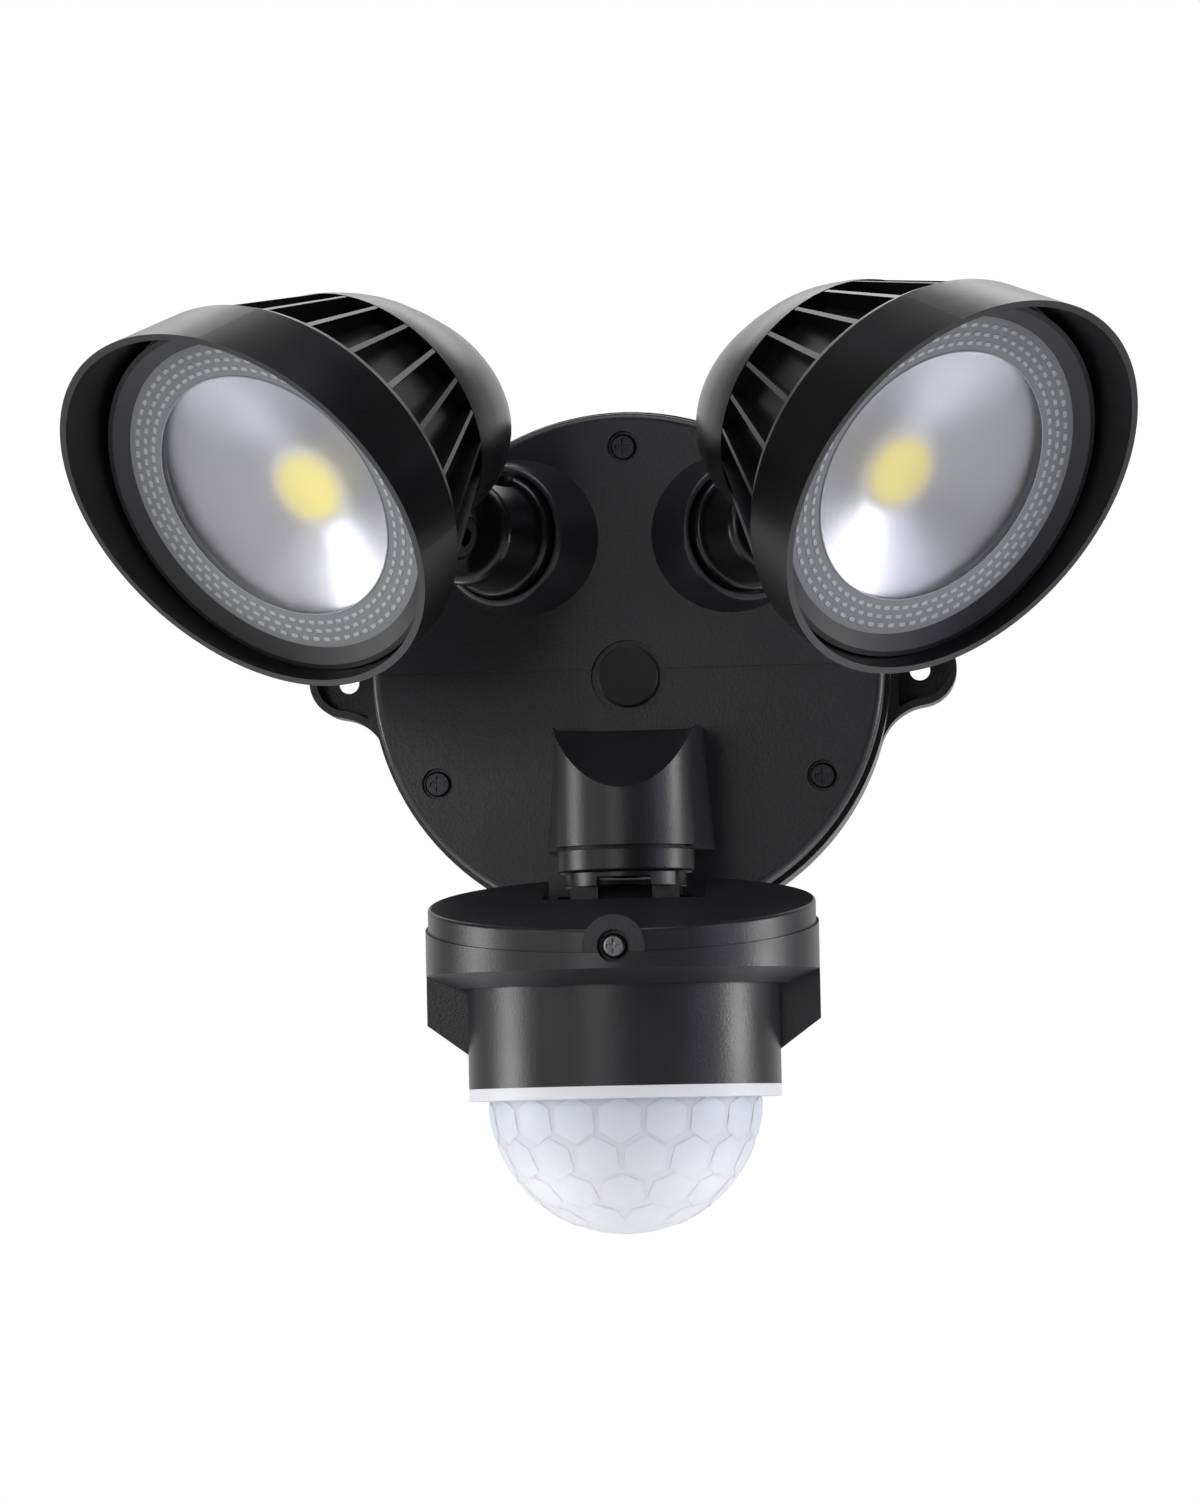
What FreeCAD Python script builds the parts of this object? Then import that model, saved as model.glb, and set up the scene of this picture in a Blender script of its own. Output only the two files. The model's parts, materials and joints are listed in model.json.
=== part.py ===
"""Twin-head LED security light with a motion sensor, for a wall.

Frame: the back box's wall face is the plane y = 0, +Y goes into the wall, +Z is up and the
origin is the centre of that face. All sizes are in millimetres.
"""
import FreeCAD, Part
import math
import os

from FreeCAD import Matrix, Placement, Rotation, Vector

os.makedirs("parts", exist_ok=True)

# ---------------------------------------------------------------- driving dimensions
# Wall box and front cover
box_radius = 60.0
box_depth = 25.0
box_wall = 2.6
ear_reach = 6.7              # from the box's rim out to each mounting hole
ear_radius = 8.6
ear_depth = 12.0
ear_wall = 1.7
ear_fillet = 12.5
ear_floor = 4.0
ear_hole_radius = 2.4
cover_inset = 1.2            # how far the cover's rim lies inside the box's
cover_depth = 10.0
cover_wall = 2.6
cover_step = 0.8             # the upper half of the face stands this much prouder
cover_edge_round = 1.8
cover_gasket_thickness = 1.2
cover_screw_inset = 9.0      # from the box's rim in to the circle of the three cover screws
cover_screw_radius = 1.9
cover_screw_head_radius = 2.9
cover_recess_radius = 3.6
cover_recess_depth = 2.0
cover_post_radius = 4.2
plug_radius = 7.0
plug_recess_radius = 8.4
plug_stem_radius = 4.0
plug_drop = 1.9              # the plug's centre lies this far below the face's centre
wall_gasket_width = 4.0
wall_gasket_depth = 1.6
inlet_radius = 10.0
inlet_height = 14.0          # the cable comes in this far above the centre
cable_radius = 4.2
grommet_lip = 2.6
grommet_lip_height = 2.0
grommet_inset = 0.4

# Lamp arms
boss_side_inset = 36.0       # from the box's side in to each boss centre
boss_top_inset = 29.6        # from the box's top down to each boss centre
boss_base_radius = 18.4
boss_mouth_radius = 16.0
boss_length = 9.5
boss_recess_depth = 3.4
boss_mouth_round = 1.0
arm_splay = 27.0             # degrees outwards from straight ahead
arm_length = 46.2            # boss centre to knuckle pin, along the arm
arm_collar_radius = 13.9
arm_collar_length = 5.4
arm_barrel_radius = 12.2
arm_barrel_length = 14.5
arm_shank_radius = 7.5
arm_wire_radius = 3.6
arm_tongue_width = 10.0
arm_tongue_radius = 8.4
arm_nut_height = 4.2
arm_nut_flats = 22.0
arm_nut_flange = 12.9        # radius of the nut's flange
arm_nut_room = 0.6           # between that flange and the cover's inner face
arm_wire_exit = 13.0         # from the knuckle pin back to the wires' way out
wire_exit_radius = 2.2
arm_seal_thickness = 0.8
mouth_gap = 0.9
knuckle_pin_radius = 3.0
fork_cheek = 5.0
fork_radius = 9.2
running_gap = 0.05           # radial clearance of a pin that turns in its hole
side_gap = 0.25              # clearance beside a tongue in its fork

# Lamp heads, along the head's own axis z from the lens face, y towards its top
pin_setback = 49.0           # lens face back to the knuckle pin
pin_drop = 35.4              # head axis down to the knuckle pin
ring_radius = 43.9           # front edge of the finned band
ring_back = 4.6              # how far that edge lies behind the lens face
fin_band_back = 36.2
fin_back_radius = 30.6
fin_groove_front = 5.6
fin_groove_back = 3.6
fin_count = 24
fin_angle = 1.9              # degrees that each fin fills
fin_rim = 2.2                # solid rim in front of the grooves
dome_back = 62.5
shell_wall = 2.7
lens_radius = 39.6
lens_thickness = 3.0
lens_window_radius = 29.5
lens_gasket_height = 1.2
bezel_inner_radius = 37.7
bezel_outer_radius = 42.2
bezel_height = 2.0
visor_wall = 1.6
visor_radius = 46.6
visor_forward = 12.2
visor_lift = 2.8
visor_rake = 6.8             # degrees that the rim leans, longest at the top
reflector_wall = 0.8
reflector_radius = 36.3      # outer edge of its flange
led_depth = 14.0             # lens face back to the emitter
led_offset = 5.0             # the emitter sits this far below the head axis
led_radius = 7.6
led_board_side = 22.0
led_board_thickness = 1.5
led_plate_thickness = 3.0

# Motion sensor
socket_half_width = 15.9
socket_reach = 28.0          # cover face to the neck axis
socket_top = -14.0
socket_bottom = -42.0
socket_flare_top = 16.9
socket_flare_bottom = 19.2
scoop_overhang = 0.5         # the scoop is this much wider than the socket's half
scoop_rise = 15.6
neck_stem_radius = 10.0
neck_seal_thickness = 1.0
neck_ring_radius = 15.4
neck_ring_height = 5.0
neck_barrel_radius = 13.6
neck_barrel_height = 3.0
neck_slot_half = 6.1
neck_cheek_radius = 7.4
neck_nut_height = 3.6
tilt_drop = 15.4             # socket's underside down to the tilt bolt
tilt_bolt_radius = 2.5
sensor_forward = 25.0        # neck axis to the sensor's own centre line
lid_inset = 0.6              # how far the lid's rim lies inside the sensor's
lid_height = 5.0
lid_slope = 9.4              # degrees nose down
lid_centre_z = -55.3         # top of the lid over the sensor's centre line
pocket_half_width = 18.2
pocket_front = 18.5          # neck axis forward to the pocket's front wall
pocket_depth = 12.6          # tilt bolt down to the pocket's floor
pocket_wall = 1.8
sensor_radius = 43.6
sensor_wall = 2.3
ledge_z = -70.8
skirt_top_z = -74.0
drum_step = 9.0              # from the sensor's rim in to the drum
drum_bottom_z = -96.1
cheek_bottom_z = -81.8
cheek_chamfer_z = -88.4
pad_half_width = 17.0
lug_radius = 6.8
lid_screw_z = -66.0
lid_screw_radius = 1.6
lid_screw_head_radius = 2.7
lid_screw_hole_radius = 3.6
dome_step = 4.4              # from the drum in to the dome
dome_wall = 1.3
dome_flange = 2.7
knob_radius = 3.8
knob_height = 4.2
knob_spread = 9.0
knob_stem_radius = 1.5
sensor_board_z = -86.2
sensor_board_step = 3.0      # from the drum in to the board's edge
board_thickness = 1.6

# Parts inside the wall box
driver_side_inset = 27.0     # from the box's side in to the board's edge
driver_top_inset = 74.0      # from the box's top down to the board
driver_bottom_inset = 16.0   # from the box's bottom up to the board
driver_standoff = 6.0
driver_post_radius = 3.0
driver_post_inset = 4.0
board_screw_radius = 1.3
terminal_width = 32.0
terminal_height = 12.0
terminal_depth = 12.0

# Rest pose of each lamp: how far the arm is turned about itself, and the head tilted down
rest_swivel = {"left": 14.4, "right": 23.5}
rest_tilt = {"left": 33.2, "right": 32.3}

X = Vector(1, 0, 0)
Y = Vector(0, 1, 0)
Z = Vector(0, 0, 1)
ORIGIN = Vector(0, 0, 0)


# ---------------------------------------------------------------- helpers
def save(shape, name):
    """Write one named piece, with small seams between its faces cleaned away."""
    clean = shape.removeSplitter()
    piece = clean if clean.isValid() and clean.Solids else shape
    piece.exportStep("parts/" + name + ".step")
    print("%-22s solids %d  volume %9.1f mm3  faces %d" %
          (name, len(piece.Solids), piece.Volume, len(piece.Faces)))


def rod(radius, start, end):
    """A solid round bar between two points."""
    axis = end - start
    return Part.makeCylinder(radius, axis.Length, start, axis)


def tube(outer, inner, start, end):
    """A round bar with a bore right through."""
    return rod(outer, start, end).cut(rod(inner, start, end))


def block(low, high):
    """A box between its lowest and highest corners."""
    size = high - low
    return Part.makeBox(size.x, size.y, size.z, low)


def revolve_z(points, sweep=360.0):
    """Turn a closed outline of (radius, z) points about the Z axis, from the +X side."""
    corners = [Vector(r, 0, z) for r, z in points]
    face = Part.Face(Part.makePolygon(corners + corners[:1]))
    return face.revolve(ORIGIN, Z, sweep)


def hexagon_bar(flats, start, end):
    """A six-sided bar, measured across its flats."""
    axis = end - start
    turn = Rotation(Z, axis)
    radius = flats / math.sqrt(3.0)
    corners = []
    for k in range(6):
        angle = math.radians(60 * k)
        spoke = Vector(radius * math.cos(angle), radius * math.sin(angle), 0)
        corners.append(start + turn.multVec(spoke))
    return Part.Face(Part.makePolygon(corners + corners[:1])).extrude(axis)


def round_edges(shape, radius, wanted):
    """Round the edges that the test picks; each test reads an edge's middle point."""
    edges = [edge for edge in shape.Edges if wanted(edge)]
    return shape.makeFillet(radius, edges)


def is_circle(edge, radius):
    """True for an edge that is an arc of this radius."""
    return isinstance(edge.Curve, Part.Circle) and abs(edge.Curve.Radius - radius) < 1e-3


def placed(shape, origin, x_axis, y_axis, z_axis):
    """A copy of a shape, moved from its own frame into the given one."""
    matrix = Matrix(x_axis.x, y_axis.x, z_axis.x, origin.x,
                    x_axis.y, y_axis.y, z_axis.y, origin.y,
                    x_axis.z, y_axis.z, z_axis.z, origin.z,
                    0, 0, 0, 1)
    copy = shape.copy()
    copy.Placement = Placement(matrix)
    return copy


# ---------------------------------------------------------------- where things lie
cover_back_y = -box_depth - cover_gasket_thickness
face_y = cover_back_y - cover_depth              # the prouder, upper half of the face
lower_face_y = face_y + cover_step
ear_x = box_radius + ear_reach
cover_radius = box_radius - cover_inset
cover_screw_circle = box_radius - cover_screw_inset
boss_spread = box_radius - boss_side_inset
boss_height = box_radius - boss_top_inset
scoop_radius = socket_half_width + scoop_overhang
lid_radius = sensor_radius - lid_inset
sensor_drum_radius = sensor_radius - drum_step
sensor_board_radius = sensor_drum_radius - sensor_board_step
dome_radius = sensor_drum_radius - dome_step
driver_width = 2.0 * (box_radius - driver_side_inset)
driver_top_z = box_radius - driver_top_inset
driver_height = driver_top_z + box_radius - driver_bottom_inset
plug_centre = Vector(0, 0, -plug_drop)
inlet = Vector(0, 0, inlet_height)
neck_y = face_y - socket_reach
sensor_y = neck_y - sensor_forward
tilt_z = socket_bottom - tilt_drop
lid_rise = math.tan(math.radians(lid_slope))     # height gained per millimetre backwards
pin_length = arm_tongue_width / 2.0 + side_gap + fork_cheek
inside_face_y = lower_face_y + cover_wall        # the cover's inner face
splay_sin = math.sin(math.radians(arm_splay))
splay_cos = math.cos(math.radians(arm_splay))
# The seat behind each boss is just long enough for the tilted nut to clear the inner face.
boss_pad_length = (inside_face_y - face_y + arm_nut_room + arm_nut_flange * splay_sin) / splay_cos


def lid_plane_z(y, drop=0.0):
    """Height of the lid's sloping top, or of a plane below it, at a depth y."""
    return lid_centre_z - drop + (y - sensor_y) * lid_rise


def screw_places():
    """The three cover screws, on a circle: one at the top and two below."""
    spots = []
    for angle in (90.0, 210.0, 330.0):
        spots.append(Vector(cover_screw_circle * math.cos(math.radians(angle)), 0,
                            cover_screw_circle * math.sin(math.radians(angle))))
    return spots


def lamp_frames(side):
    """The fixed, arm and head frames of one lamp in its rest pose."""
    sign = -1.0 if side == "left" else 1.0
    splay = math.radians(arm_splay)
    swivel = math.radians(rest_swivel[side])
    tilt = math.radians(rest_tilt[side])
    along = Vector(sign * math.sin(splay), -math.cos(splay), 0)
    level = Vector(math.cos(splay), sign * math.sin(splay), 0)
    pin = level * math.cos(swivel) + Z * (sign * math.sin(swivel))
    top = along.cross(pin)
    ahead = along * math.cos(tilt) - top * math.sin(tilt)
    head_top = along * math.sin(tilt) + top * math.cos(tilt)
    root = Vector(sign * boss_spread, face_y, boss_height)
    knuckle = root + along * arm_length
    lens = knuckle + ahead * pin_setback + head_top * pin_drop
    return {"root": root, "along": along, "pin": pin, "top": top, "knuckle": knuckle,
            "ahead": ahead, "head_top": head_top, "lens": lens}


def in_arm(shape, lamp):
    """Move a piece from the arm's own frame (z along the arm) to its place."""
    return placed(shape, lamp["root"], lamp["pin"], lamp["top"], lamp["along"])


def in_head(shape, lamp):
    """Move a piece from the head's own frame (z out of the lens) to its place."""
    return placed(shape, lamp["lens"], lamp["pin"], lamp["head_top"], lamp["ahead"])


# ---------------------------------------------------------------- wall box
def ear_outline(inset):
    """One ear's face at +X: a round end that sweeps into the box with hollow flanks."""
    end = ear_radius - inset
    flank = ear_fillet + inset
    disc = box_radius - inset
    reach = disc + flank
    span = end + flank
    flank_x = (reach ** 2 - span ** 2 + ear_x ** 2) / (2.0 * ear_x)
    flank_z = math.sqrt(reach ** 2 - flank_x ** 2)
    flank_centre = Vector(flank_x, 0, -flank_z)
    hole = Vector(ear_x, 0, 0)
    meets_end = hole + (flank_centre - hole).normalize() * end
    meets_disc = Vector(flank_centre).normalize() * disc
    middle = (meets_end + meets_disc) * 0.5 - flank_centre
    hollow = flank_centre + middle.normalize() * flank

    def up(point):
        return Vector(point.x, 0, -point.z)

    arcs = [Part.Arc(meets_disc, hollow, meets_end).toShape(),
            Part.Arc(meets_end, hole + X * end, up(meets_end)).toShape(),
            Part.Arc(up(meets_end), up(hollow), up(meets_disc)).toShape(),
            Part.makePolygon([up(meets_disc), Vector(0, 0, 0), meets_disc])]
    return Part.Face(Part.Wire([edge for arc in arcs for edge in arc.Edges]))


def make_ear():
    """A hollow lug with a floor that carries the mounting hole."""
    lug = ear_outline(0.0).extrude(Y * -ear_depth)
    pocket = ear_outline(ear_wall).extrude(Y * -ear_depth)
    pocket.translate(Y * -ear_floor)
    inner_side = box_radius + ear_wall
    pocket = pocket.common(block(Vector(inner_side, -2 * ear_depth, -box_radius),
                                 Vector(2 * box_radius, 0, box_radius)))
    hole = rod(ear_hole_radius, Vector(ear_x, 0, 0), Vector(ear_x, -ear_depth, 0))
    return lug.cut(pocket).cut(hole)


def driver_posts():
    """Where the four posts under the driver board stand."""
    low_z = driver_top_z - driver_height + driver_post_inset
    high_z = driver_top_z - driver_post_inset
    reach = driver_width / 2.0 - driver_post_inset
    return [Vector(sx * reach, 0, z) for sx in (-1, 1) for z in (high_z, low_z)]


def post_rib(spot):
    """A rib that ties a cover-screw post to the box's wall."""
    out = Vector(spot).normalize()
    rib = block(Vector(0, -box_depth + 1.0, -box_wall / 2.0),
                Vector(box_radius - box_wall / 2.0 - cover_screw_circle, -box_wall / 2.0,
                       box_wall / 2.0))
    return placed(rib, spot, out, Y, out.cross(Y))


def make_back_box():
    """The cup on the wall, with two ears, screw posts and the cable inlet."""
    floor_y = -box_wall
    cup = rod(box_radius, ORIGIN, Y * -box_depth)
    cup = cup.cut(rod(box_radius - box_wall, Y * floor_y, Y * -box_depth))
    ear = make_ear()
    inside = rod(box_radius - box_wall / 2.0, Y * 1.0, Y * -(box_depth + 1.0))
    ear = ear.cut(inside)
    cup = cup.fuse([ear, ear.mirror(ORIGIN, X)])
    posts = []
    holes = []
    for spot in screw_places():
        posts.append(rod(cover_post_radius, spot + Y * floor_y * 0.5, spot - Y * box_depth))
        posts.append(post_rib(spot))
        holes.append(rod(cover_screw_radius, spot + Y * (floor_y - 2.0), spot - Y * box_depth))
    for spot in driver_posts():
        top = spot + Y * (floor_y - driver_standoff)
        posts.append(rod(driver_post_radius, spot + Y * floor_y * 0.5, top))
        holes.append(rod(board_screw_radius, spot + Y * (floor_y - 0.5), top))
    groove_outer = box_radius - 2.0
    groove = tube(groove_outer, groove_outer - wall_gasket_width, ORIGIN,
                  Y * -(wall_gasket_depth - 0.6))
    cable_hole = rod(inlet_radius, inlet + Y, inlet - Y * (box_wall + 1.0))
    return cup.fuse(posts).cut(holes + [groove, cable_hole])


def make_wall_gasket():
    """Foam ring in the groove of the wall face."""
    outer = box_radius - 2.0
    return tube(outer, outer - wall_gasket_width, ORIGIN, Y * -(wall_gasket_depth - 0.6))


def make_grommet():
    """Rubber bush in the cable inlet, with a lip inside the box."""
    seat = inlet - Y * box_wall
    body = rod(inlet_radius, inlet - Y * grommet_inset, seat)
    lip = rod(inlet_radius + grommet_lip, seat, seat - Y * grommet_lip_height)
    return body.fuse(lip).cut(rod(cable_radius, inlet, seat - Y * (grommet_lip_height + 1.0)))


def make_cover_gasket():
    """Flat seal between box and cover; it leaves the dark line round the cover."""
    outer = cover_radius - 0.9
    return tube(outer, box_radius - box_wall - 3.2, Y * -box_depth, Y * cover_back_y)


def make_driver_board():
    """Printed board on its four posts."""
    back = -(box_wall + driver_standoff)
    board = block(Vector(-driver_width / 2.0, back - board_thickness, driver_top_z - driver_height),
                  Vector(driver_width / 2.0, back, driver_top_z))
    holes = [rod(board_screw_radius + 0.2, s + Y * back, s + Y * (back - board_thickness))
             for s in driver_posts()]
    return board.cut(holes)


def make_board_screws():
    """Four small screws that hold the driver board down."""
    seat = -(box_wall + driver_standoff + board_thickness)
    screws = []
    for spot in driver_posts():
        shank = rod(board_screw_radius - 0.1, spot + Y * (seat + 5.0), spot + Y * seat)
        head = rod(2.4, spot + Y * seat, spot + Y * (seat - 1.6))
        screws.append(shank.fuse(head))
    return Part.makeCompound(screws)


def make_transformer():
    """Wound core of the power supply: bobbin between two iron blocks."""
    base = -(box_wall + driver_standoff + board_thickness)
    middle_z = driver_top_z - driver_height / 2.0
    core = block(Vector(-14, base - 11.0, middle_z - 9), Vector(6, base, middle_z + 9))
    window = block(Vector(-9, base - 11.0, middle_z - 5.5), Vector(1, base - 1.5, middle_z + 5.5))
    winding = block(Vector(-8, base - 12.0, middle_z - 10.5),
                    Vector(0, base - 2.0, middle_z + 10.5))
    return core.cut(window).fuse(winding)


def make_capacitors():
    """Two upright smoothing capacitors."""
    base = -(box_wall + driver_standoff + board_thickness)
    cans = []
    for x, z, radius in ((14.0, driver_top_z - 7.0, 4.5), (14.0, driver_top_z - 21.0, 4.0)):
        can = rod(radius, Vector(x, base, z), Vector(x, base - 11.0, z))
        cans.append(round_edges(can, 0.6, lambda e: e.CenterOfMass.y < base - 10.0))
    return Part.makeCompound(cans)


def make_terminal_block():
    """Screw terminals for the supply, on the box's floor above the inlet."""
    low_z = inlet_height + inlet_radius + grommet_lip + 3.0
    half = terminal_width / 2.0
    body = block(Vector(-half, -(box_wall + terminal_depth), low_z),
                 Vector(half, -box_wall, low_z + terminal_height))
    cuts = []
    for k in (-1, 0, 1):
        x = k * terminal_width / 3.2
        middle = low_z + terminal_height / 2.0
        cuts.append(rod(2.4, Vector(x, -(box_wall + terminal_depth), middle),
                        Vector(x, -(box_wall + terminal_depth - 4.0), middle)))
        cuts.append(rod(1.7, Vector(x, -(box_wall + 5.0), low_z),
                        Vector(x, -(box_wall + 5.0), low_z + 7.0)))
    return body.cut(cuts)


# ---------------------------------------------------------------- front cover
def make_boss(side):
    """A cone that turns from the cover's face to the splayed mouth of the arm."""
    lamp = lamp_frames(side)
    start = lamp["root"] + Y * (cover_step + 0.2)
    mouth = lamp["root"] + lamp["along"] * boss_length
    base = Part.Wire(Part.Circle(start, Y, boss_base_radius).toShape())
    rim = Part.Wire(Part.Circle(mouth, lamp["along"] * -1.0, boss_mouth_radius).toShape())
    cone = Part.makeLoft([base, rim], True, True)
    return round_edges(cone, boss_mouth_round, lambda e: is_circle(e, boss_mouth_radius))


def make_boss_bores(side):
    """The recess for the arm's collar and the hole for its shank."""
    lamp = lamp_frames(side)
    floor = lamp["root"] + lamp["along"] * (boss_length - boss_recess_depth)
    recess = rod(arm_collar_radius + mouth_gap, floor, floor + lamp["along"] * 20.0)
    back = lamp["root"] - lamp["along"] * (boss_pad_length + 20.0)
    shank = rod(arm_shank_radius + running_gap, back, floor + lamp["along"])
    return [recess, shank]


def make_pads():
    """Square seats behind the bosses, inside the cover, for the arms' nuts."""
    pads = []
    inside_y = face_y + cover_wall / 2.0
    room = block(Vector(-box_radius, inside_y, -box_radius), Vector(box_radius, 0, box_radius))
    for side in ("left", "right"):
        lamp = lamp_frames(side)
        pad = rod(arm_collar_radius, lamp["root"] - lamp["along"] * boss_pad_length,
                  lamp["root"] + lamp["along"] * 12.0)
        pads.append(pad.common(room))
    return pads


def make_socket():
    """The sensor's socket: a round front, flared cheeks and a scooped top."""
    back_y = face_y + 1.4
    low, high = socket_bottom, socket_top

    def section(z, half):
        """Plan of the socket at one height: two cheeks that meet the round front."""
        front = socket_half_width
        corners = [Vector(-front, neck_y, z), Vector(-half, back_y, z),
                   Vector(half, back_y, z), Vector(front, neck_y, z)]
        nose = Part.Arc(corners[3], Vector(0, neck_y - front, z), corners[0]).toShape()
        sides = Part.makePolygon(corners)
        return Part.Wire(sides.Edges + [nose])

    body = Part.makeLoft([section(low, socket_flare_bottom), section(high, socket_flare_top)],
                         True, True)
    # The scoop runs from a round arc at the front up to a straight line at the face.
    front_y = neck_y - socket_half_width - 1.0
    deep = Vector(0, front_y, high - scoop_rise)
    arc = Part.Arc(Vector(-scoop_radius, front_y, high), deep, Vector(scoop_radius, front_y, high))
    lid = Part.makePolygon([Vector(scoop_radius, front_y, high), Vector(scoop_radius, front_y, 0),
                            Vector(-scoop_radius, front_y, 0),
                            Vector(-scoop_radius, front_y, high)])
    front = Part.Wire([arc.toShape()] + lid.Edges)
    shallow = Vector(0, face_y, high - 0.3)
    flat = Part.Arc(Vector(-scoop_radius, face_y, high), shallow, Vector(scoop_radius, face_y, high))
    top = Part.makePolygon([Vector(scoop_radius, face_y, high), Vector(scoop_radius, face_y, 0),
                            Vector(-scoop_radius, face_y, 0), Vector(-scoop_radius, face_y, high)])
    back = Part.Wire([flat.toShape()] + top.Edges)
    scoop = Part.makeLoft([front, back], True, True)
    return body.cut(scoop)


chamber_top = -32.4
chamber_floor = socket_bottom + 4.6
chamber_radius = 12.6


def make_socket_bores():
    """The neck's bore, the room for its nut, and the wire way into the cover."""
    neck = rod(neck_stem_radius + running_gap, Vector(0, neck_y, socket_bottom - 1.0),
               Vector(0, neck_y, chamber_floor + 1.0))
    chamber = rod(chamber_radius, Vector(0, neck_y, chamber_floor), Vector(0, neck_y, chamber_top))
    channel = block(Vector(-chamber_radius, neck_y, chamber_floor),
                    Vector(chamber_radius, face_y + cover_wall + 1.0, chamber_top))
    return [neck, chamber, channel]


def make_front_cover():
    """The domed-edge plate that carries the lamp bosses and the sensor's socket."""
    def plate(front_y):
        disc = rod(cover_radius, Y * cover_back_y, Y * front_y)
        return round_edges(disc, cover_edge_round,
                           lambda e: is_circle(e, cover_radius) and e.CenterOfMass.y < front_y + 0.1)

    upper = block(Vector(-box_radius, face_y - 1, 0), Vector(box_radius, 0, box_radius))
    lower = block(Vector(-box_radius, face_y - 1, -box_radius), Vector(box_radius, 0, 0))
    skin = plate(face_y).common(upper).fuse(plate(lower_face_y).common(lower))
    hollow = rod(cover_radius - cover_wall, Y * cover_back_y, Y * inside_face_y)
    posts = []
    for spot in screw_places():
        posts.append(rod(cover_post_radius + 1.4, spot + Y * cover_back_y,
                         spot + Y * (inside_face_y - 0.5)))
        posts.append(rod(cover_screw_radius + 1.1, spot - Y * box_depth,
                         spot + Y * (inside_face_y - 0.5)))
    body = skin.cut(hollow).fuse(posts + make_pads())
    body = body.fuse([make_boss("left"), make_boss("right"), make_socket()])
    cuts = make_boss_bores("left") + make_boss_bores("right") + make_socket_bores()
    for spot in screw_places():
        cuts.append(rod(cover_screw_radius + 0.3, spot, spot + Y * (face_y - 1.0)))
        local_face = face_y if spot.z > 0 else lower_face_y
        cuts.append(rod(cover_recess_radius, spot + Y * (local_face - 2.0),
                        spot + Y * (local_face + cover_recess_depth)))
    cuts.append(rod(plug_recess_radius, plug_centre + Y * (face_y - 2.0),
                    plug_centre + Y * (lower_face_y + 0.9)))
    cuts.append(rod(plug_stem_radius, plug_centre, plug_centre + Y * (face_y - 2.0)))
    return body.cut(cuts)


def make_cover_screws():
    """Three cross-head screws that hold the cover to the box."""
    screws = []
    for spot in screw_places():
        local_face = face_y if spot.z > 0 else lower_face_y
        seat = local_face + cover_recess_depth
        shank = rod(cover_screw_radius - 0.1, spot - Y * (box_depth - 12.0), spot + Y * seat)
        head = rod(cover_screw_head_radius, spot + Y * seat, spot + Y * (seat - 1.4))
        head = round_edges(head, 0.5, lambda e: e.CenterOfMass.y < seat - 1.3)
        arm = 0.45
        reach = cover_screw_head_radius * 0.62
        cross = [block(Vector(-reach, seat - 3.0, -arm) + spot, Vector(reach, seat - 0.5, arm) + spot),
                 block(Vector(-arm, seat - 3.0, -reach) + spot, Vector(arm, seat - 0.5, reach) + spot)]
        screws.append(shank.fuse(head).cut(cross))
    return Part.makeCompound(screws)


def make_centre_plug():
    """Rubber plug that closes the hole in the middle of the cover."""
    seat = lower_face_y + 0.9
    head = rod(plug_radius, plug_centre + Y * seat, plug_centre + Y * (face_y - 0.7))
    head = round_edges(head, 0.6, lambda e: e.CenterOfMass.y < face_y - 0.6)
    stem = rod(plug_stem_radius - 0.05, plug_centre + Y * seat,
               plug_centre + Y * (inside_face_y + 2.0))
    barb = Part.makeCone(plug_stem_radius - 0.6, plug_stem_radius + 0.8, 1.8,
                         plug_centre + Y * (inside_face_y + 2.0), Y * -1.0)
    return head.fuse([stem, barb])


# ---------------------------------------------------------------- lamp arms
collar_start = boss_length - boss_recess_depth + arm_seal_thickness
collar_end = collar_start + arm_collar_length
barrel_end = collar_end + arm_barrel_length
nut_end = -boss_pad_length
shank_end = nut_end - arm_nut_height - 2.6


def make_arm():
    """Shank, collar and barrel in one casting, ending in the knuckle's tongue."""
    half = arm_tongue_width / 2.0
    collar = rod(arm_collar_radius, Z * collar_start, Z * collar_end)
    collar = round_edges(collar, 1.1, lambda e: is_circle(e, arm_collar_radius)
                         and e.CenterOfMass.z > collar_end - 0.1)
    barrel = rod(arm_barrel_radius, Z * (collar_end - 1.0), Z * barrel_end)
    barrel = round_edges(barrel, 2.2, lambda e: is_circle(e, arm_barrel_radius)
                         and e.CenterOfMass.z > barrel_end - 0.1)
    shank = rod(arm_shank_radius, Z * shank_end, Z * (collar_start + 1.0))
    eye = rod(arm_tongue_radius, Vector(-half, 0, arm_length), Vector(half, 0, arm_length))
    blade = block(Vector(-half, -arm_tongue_radius, barrel_end - 3.0),
                  Vector(half, arm_tongue_radius, arm_length))
    arm = collar.fuse([barrel, shank, eye, blade])
    exit_z = arm_length - arm_wire_exit
    wire_way = rod(arm_wire_radius, Z * shank_end, Z * exit_z)
    exit_way = rod(wire_exit_radius, Z * exit_z, Vector(0, arm_barrel_radius, exit_z))
    pin_hole = rod(knuckle_pin_radius + running_gap, Vector(-half, 0, arm_length),
                   Vector(half, 0, arm_length))
    # A flat with a rounded keyway relieves the barrel on the side seen from the front.
    flat_y = arm_barrel_radius - 2.2
    relief = block(Vector(-3.6, flat_y, collar_end + 2.6), Vector(3.6, arm_barrel_radius + 2.0,
                                                                  barrel_end + 1.0))
    ends = rod(3.6, Vector(0, flat_y, collar_end + 2.6),
               Vector(0, arm_barrel_radius + 2.0, collar_end + 2.6))
    return arm.cut([wire_way, exit_way, pin_hole, relief, ends])


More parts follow.
